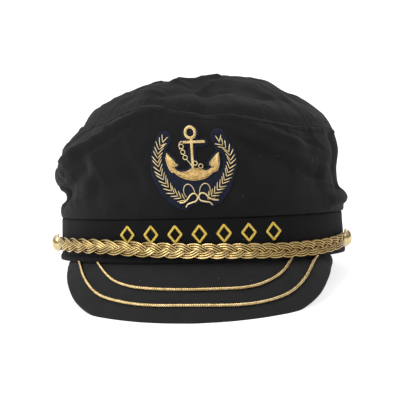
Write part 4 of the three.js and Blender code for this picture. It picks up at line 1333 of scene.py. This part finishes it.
def felt_rise(inside):
    rounded = np.sqrt(np.clip(1 - (1 - np.minimum(inside / felt_rounding, 1)) ** 2, 0, 1))
    return felt_thickness * rounded


backing = raised_shape("badge_felt", felt_edge, felt_off_cloth, felt_rise)
fitted(backing, felt.material, "navy_felt", "badge_backing")


# ---- Anchor ------------------------------------------------------------------------------------------
# Gold purl, a fine coiled wire cut to length, worked over padding: rows of short chips on the arms, and
# long wires wrapped on the ring, the stock and the shank.
anchor_raise = 0.0015
padding_share = 0.62
padding_rounding = 0.0021
padding_inset = 0.004
chip_length = 0.0019
chip_thickness = 0.00074
chip_spacing = 0.95
chip_inset = 0.0002
chip_lift = 0.32
chip_arch = 0.9
row_gap = chip_thickness * 1.02
row_bend = 11.0
rim_thickness = 0.00058
rim_rise = 0.0003
fluke_count = 6
fluke_start = 0.12
fluke_thickness = 0.00072
fluke_rise = 0.0004
shank_thickness = 0.00082
shank_rise = 0.00095
stock_thickness = 0.00078
stock_rise = 0.00125
ring_thickness = 0.0009
ring_spacing = 0.00052
felt_top = felt_thickness + 0.00005

purl_gold = wound_gold(
    "purl_gold", 0.00034, (0.90, 0.72, 0.36), (0.34, 0.20, 0.06), 0.2, 0.00008, lean=0.55)
worked_gold = wound_gold(
    "worked_gold", 0.0005, (0.96, 0.72, 0.33), (0.40, 0.22, 0.06), 0.26, 0.0001, lean=0.55,
    grain=420.0)
smooth_gold = wound_gold(
    "smooth_gold", 0.00034, (0.94, 0.79, 0.46), (0.62, 0.45, 0.20), 0.34, 0.00004, lean=0.55)


def anchor_edge(x, y):
    return from_outline(x, y, crescent) + padding_inset


def anchor_rise(inside):
    return anchor_raise * padding_share * np.sqrt(np.clip(inside / padding_rounding, 0, 1))


padding = raised_shape("anchor_padding", anchor_edge, felt_top, anchor_rise)
padding_thread = Finish("padding_thread", {"Base Color": (0.42, 0.26, 0.08, 1.0), "Roughness": 0.7})
fitted(padding, padding_thread.material, "gold_purl")

# A wire of purl along each line, as thick as the number named thick says
wires = Recipe("Purl wires", Diameter=float, Sides=int)
wire_radius = wires.input("Diameter") * wires.named("thick", "FLOAT") * 0.5
wires.done(swept(wires, wires.lines(), wire_radius))


def wire_piece(name, lines, diameter, sides, gold, *nodes, closed=False, thick=None):
    """Purl wires along lines that are given in metres on the badge: x, y and height off the cloth."""
    raised = []
    for line in lines:
        x, y, out = line.T
        raised.append(on_badge(x, y, out)[0])
    if thick is None:
        thick = [np.ones(len(line)) for line in lines]
    drawn = drawn_lines(name, raised, closed=closed, thick=thick)
    wires.piece(name, drawn, "gold_purl", *nodes, Diameter=diameter, Sides=sides, Material=gold)


def padded_top(px, py):
    inside = -np.minimum(anchor_edge(px / badge_height, py / badge_height), 0) * badge_height
    return felt_top + anchor_rise(inside)


def chip(x, y, turn):
    """One chip of purl, a short arched wire."""
    share = np.linspace(-0.5, 0.5, 5)
    px = x + math.cos(turn) * chip_length * share
    py = y + math.sin(turn) * chip_length * share
    out = padded_top(px, py) + chip_thickness * (chip_lift - chip_arch * share**2)
    return np.stack([px, py, out], -1)


chips = []
for row in range(-12, 16):
    for place in range(-12, 13):
        x = (place + (0.5 if row % 2 else 0)) * chip_length * chip_spacing
        y = row * row_gap + x * x * row_bend
        far = float(anchor_edge(x / badge_height, y / badge_height)) * badge_height
        if far > -chip_inset:
            continue
        turn = math.atan(2 * row_bend * x) + 0.25 * math.sin(row * 2.1 + place * 1.3)
        chips.append(chip(x, y, turn))
wire_piece("anchor_chips", chips, chip_thickness, 8, worked_gold)


def outline_wire(points, height):
    ring = np.array([*points, points[0]]) * badge_height
    steps = np.linspace(0, len(ring) - 1, 260)
    x, y = (np.interp(steps, np.arange(len(ring)), column) for column in ring.T)
    return np.stack([x, y, 0 * x + height], -1)[:-1]


rim = [outline_wire(crescent, felt_top + rim_rise)]
wire_piece("anchor_rim", rim, rim_thickness, 8, purl_gold, "badge_anchor", closed=True)


def fluke_wires(tip, heel, barb):
    """Long wires fanned over a fluke, from near its tip to the line from its heel to its barb."""
    fan = []
    steps = np.linspace(0, 1, 16)[:, None]
    for k in range(fluke_count):
        share = (k + 0.5) / fluke_count
        foot = np.array(heel) + (np.array(barb) - heel) * share
        start = np.array(tip) + (foot - tip) * fluke_start
        x, y = ((start + (foot - start) * steps) * badge_height).T
        fan.append(np.stack([x, y, padded_top(x, y) + fluke_rise], -1))
    return fan


left_fluke = fluke_wires((-0.293, 0.12), (-0.272, -0.045), (-0.18, -0.006))
right_fluke = fluke_wires((0.288, 0.16), (0.285, -0.04), (0.192, 0.022))
outside, inside = left_fluke[:4] + right_fluke[:3], left_fluke[4:] + right_fluke[3:]
wire_piece("flukes_outside", outside, fluke_thickness, 8, worked_gold)
wire_piece("flukes_inside", inside, fluke_thickness, 8, purl_gold)


def bar_wires(line, height):
    """Three long wires laid side by side over a padded bar."""
    (ax, ay), (bx, by) = np.array(line) * badge_height
    length = math.hypot(bx - ax, by - ay)
    across = np.array((ay - by, bx - ax)) / length
    half = bar_half * badge_height
    steps = np.linspace(0, 1, 26)
    sloped = np.minimum(1, 0.55 + 5 * np.minimum(steps, 1 - steps))
    bar = []
    for k in range(3):
        share = (k + 0.5) / 3 * 2 - 1
        x = ax + (bx - ax) * steps + across[0] * share * half * 0.78
        y = ay + (by - ay) * steps + across[1] * share * half * 0.78
        out = felt_top + height * math.sqrt(1 - (share * 0.8) ** 2) * sloped
        bar.append(np.stack([x, y, out], -1))
    return bar


wire_piece("anchor_shank", bar_wires(shank_line, shank_rise), shank_thickness, 10, purl_gold)
wire_piece("anchor_stock", bar_wires(stock_line, stock_rise), stock_thickness, 10, purl_gold)

spins = full_turn(72)
ring_lines = []
for offset, out in ((-ring_spacing, 0.0005), (0.0, 0.00095), (ring_spacing, 0.0005)):
    radius = ring_radius * badge_height + offset
    x = ring_at[0] * badge_height + radius * np.cos(spins)
    y = ring_at[1] * badge_height + radius * np.sin(spins) * 1.05
    ring_lines.append(np.stack([x, y, 0 * x + felt_top + out], -1))
wire_piece("anchor_ring", ring_lines, ring_thickness, 10, purl_gold, closed=True)


# ---- Laurel branches ---------------------------------------------------------------------------------
# Single lengths of thin gold purl, sewn down in pairs like a chevron up each side. Each lies on the
# felt with its foot tucked under the next pair.
leaf_pairs = 17
leaf_length = 0.0047
leaf_thickness = 0.00056
leaf_lean = 36
leaf_arch = 0.00035
leaf_overlap = 0.00018
leaf_sizes = np.array((0.6, 0.95, 1.05, 1.1, 1.08, 1.0, 0.85, 0.45))

# directions of the topmost leaves of each branch, right one first, in degrees
top_leaves = {-1: (48, 98), 1: (76, 122)}


def leaf(x, y, turn, length, lift):
    share = np.linspace(0, 1, len(leaf_sizes))
    out = felt_top + leaf_thickness * 0.36 + lift + leaf_arch * np.sin(share * math.pi)
    along = math.cos(turn) * length * share, math.sin(turn) * length * share
    return np.stack([x + along[0], y + along[1], out], -1)


def branch(name, side, node):
    lines = []
    stem = stem_lines[side] * badge_height
    last = len(stem) - 1
    for pair in range(leaf_pairs):
        at = round(pair / (leaf_pairs - 1) * last)
        ahead = stem[min(at + 6, last)] - stem[max(at - 6, 0)]
        along = math.atan2(ahead[1], ahead[0])
        for hand in (-1, 1):
            turn = along + hand * math.radians(leaf_lean + 3.0 * math.sin(pair * 2.3 + hand))
            if pair == leaf_pairs - 1:
                turn = math.radians(top_leaves[side][(hand + 1) // 2])
            length = leaf_length * (1 + 0.06 * math.sin(pair * 1.7 + hand * 2))
            lines.append(leaf(*stem[at], turn, length, leaf_overlap * (hand > 0)))
    thick = [leaf_sizes] * len(lines)
    wire_piece(name, lines, leaf_thickness, 9, smooth_gold, node, thick=thick)


branch("laurel_left", -1, "badge_branch_left")
branch("laurel_right", 1, "badge_branch_right")


# ---- Chain and bow -----------------------------------------------------------------------------------
# A chain of small rings of fine gold wire hangs from the stock and crosses the shank, and a bow of the
# same wire ties the feet of the branches.
wire_thickness = 0.00055
bow_end_thickness = 0.001
link_rise = 0.0012
chain_bar_rise = 0.0013
chain_end_rise = 0.001
link_radius = 0.00125

# places on the badge, from its middle, as shares of its height
link_places = ((-0.131, 0.204), (-0.113, 0.143), (-0.088, 0.086), (0.022, 0.028), (0.086, -0.002))
chain_bar = ((-0.07, 0.064), (-0.045, 0.033), (-0.018, 0.0))
chain_end = ((-0.122, 0.262), (-0.148, 0.244), (-0.158, 0.21), (-0.146, 0.172))
upper_loops = (
    ((-0.086, -0.353), (-0.111, -0.31), (-0.115, -0.26), (-0.096, -0.221), (-0.059, -0.208),
     (-0.022, -0.23), (0.002, -0.275), (0.015, -0.322)),
    ((0.064, -0.322), (0.066, -0.273), (0.084, -0.226), (0.12, -0.197), (0.16, -0.204),
     (0.182, -0.238), (0.184, -0.279), (0.17, -0.332)),
)
lower_loops = (
    ((-0.16, -0.415), (-0.117, -0.41), (-0.074, -0.377), (-0.043, -0.332), (-0.006, -0.31),
     (0.027, -0.324), (0.039, -0.361), (0.018, -0.396), (-0.031, -0.414), (-0.071, -0.43),
     (-0.092, -0.46)),
    ((0.264, -0.386), (0.209, -0.381), (0.16, -0.353), (0.129, -0.316), (0.092, -0.303),
     (0.061, -0.322), (0.054, -0.359), (0.074, -0.389), (0.123, -0.402), (0.172, -0.41),
     (0.199, -0.44)),
)


def laid_wire(points, out):
    """A wire through chosen places on the badge, at a height off the felt for each of its points."""
    line = smooth_line(points) * badge_height
    return np.column_stack([line, felt_top + out + 0 * line[:, 0]])


spin = full_turn(28)
link_lines = []
for number, (x, y) in enumerate(link_places):
    out = felt_top + link_rise + 0.0002 * np.sin(spin + number)
    link_x = x * badge_height + link_radius * np.cos(spin)
    link_y = y * badge_height + link_radius * np.sin(spin)
    link_lines.append(np.stack([link_x, link_y, out], -1))
wire_piece("chain_links", link_lines, wire_thickness, 8, smooth_gold, closed=True)

chain_ends = [laid_wire(chain_bar, chain_bar_rise), laid_wire(chain_end, chain_end_rise)]
wire_piece("chain_ends", chain_ends, wire_thickness, 8, smooth_gold)
bow_loops = [laid_wire(points, wire_thickness / 2) for points in upper_loops]
wire_piece("bow_loops", bow_loops, wire_thickness, 8, smooth_gold)
rise_and_fall = 0.00025 * (1 + np.sin(np.linspace(0, 9, 90)))
bow_ends = [laid_wire(points, 0.0005 + rise_and_fall) for points in lower_loops]
wire_piece("bow_ends", bow_ends, bow_end_thickness, 10, smooth_gold)


# ---- The setting -------------------------------------------------------------------------------------
# A white table lit from below, in a studio that is bright all round above, with a soft light high in
# front, a weak one behind and a small lamp in front. The camera is straight ahead, a little above.
table_half = 20
corners = ((-1, -1), (1, -1), (1, 1), (-1, 1))
floor_mesh = bpy.data.meshes.new("floor")
floor_mesh.from_pydata([(x * table_half, y * table_half, 0) for x, y in corners], [], [(0, 1, 2, 3)])
floor = placed("floor", floor_mesh)
acrylic = Finish("lit_acrylic", {"Base Color": (0.36, 0.36, 0.36, 1.0), "Roughness": 0.8,
                                 "Emission Color": (1.0, 1.0, 1.0, 1.0), "Emission Strength": 0.8})
floor.data.materials.append(acrylic.material)

surroundings = bpy.data.worlds.new("studio")
surroundings.use_nodes = True
bpy.context.scene.world = surroundings
bpy.context.scene.view_settings.view_transform = "Standard"
studio = Network(surroundings.node_tree)
way = studio.split(studio.node("ShaderNodeTexCoord", out="Generated"))
from_front = 0.4 + 0.6 * way.within(0.6, -0.5)
overhead = way.other(2).within(0.1, 0.75) * from_front + 0.12 * way.within(0.5, -0.5)
glow = studio.mixed(overhead, grey(0.2), grey(1.1))
studio.join(glow, surroundings.node_tree.nodes["Background"].inputs["Color"])


def sun(name, towards, spread_angle, power):
    light = bpy.data.lights.new(name, "SUN")
    light.angle = math.radians(spread_angle)
    light.energy = power
    placed(name, light).rotation_euler = Vector(towards).to_track_quat("-Z", "Y").to_euler()


sun("key", (0.42, 0.5, -1.0), 44, 1.45)
sun("back", (0.0, -0.8, -1.0), 50, 0.55)
sun("lamp", (0.21, 0.79, -0.57), 8, 0.24)

camera_eye = Vector((0.0679, -1.2583, 0.2658))
camera_aim = Vector((-0.0012, 0.0213, 0.0476))
camera_roll = math.radians(-2.04)
camera_data = bpy.data.cameras.new("camera")
camera_data.sensor_width = 36
camera_data.lens = 182.8
camera = placed("camera", camera_data)
look = (camera_aim - camera_eye).to_track_quat("-Z", "Y").to_matrix().to_4x4()
camera.matrix_world = Matrix.Translation(camera_eye) @ look @ Matrix.Rotation(camera_roll, 4, "Z")
bpy.context.scene.camera = camera
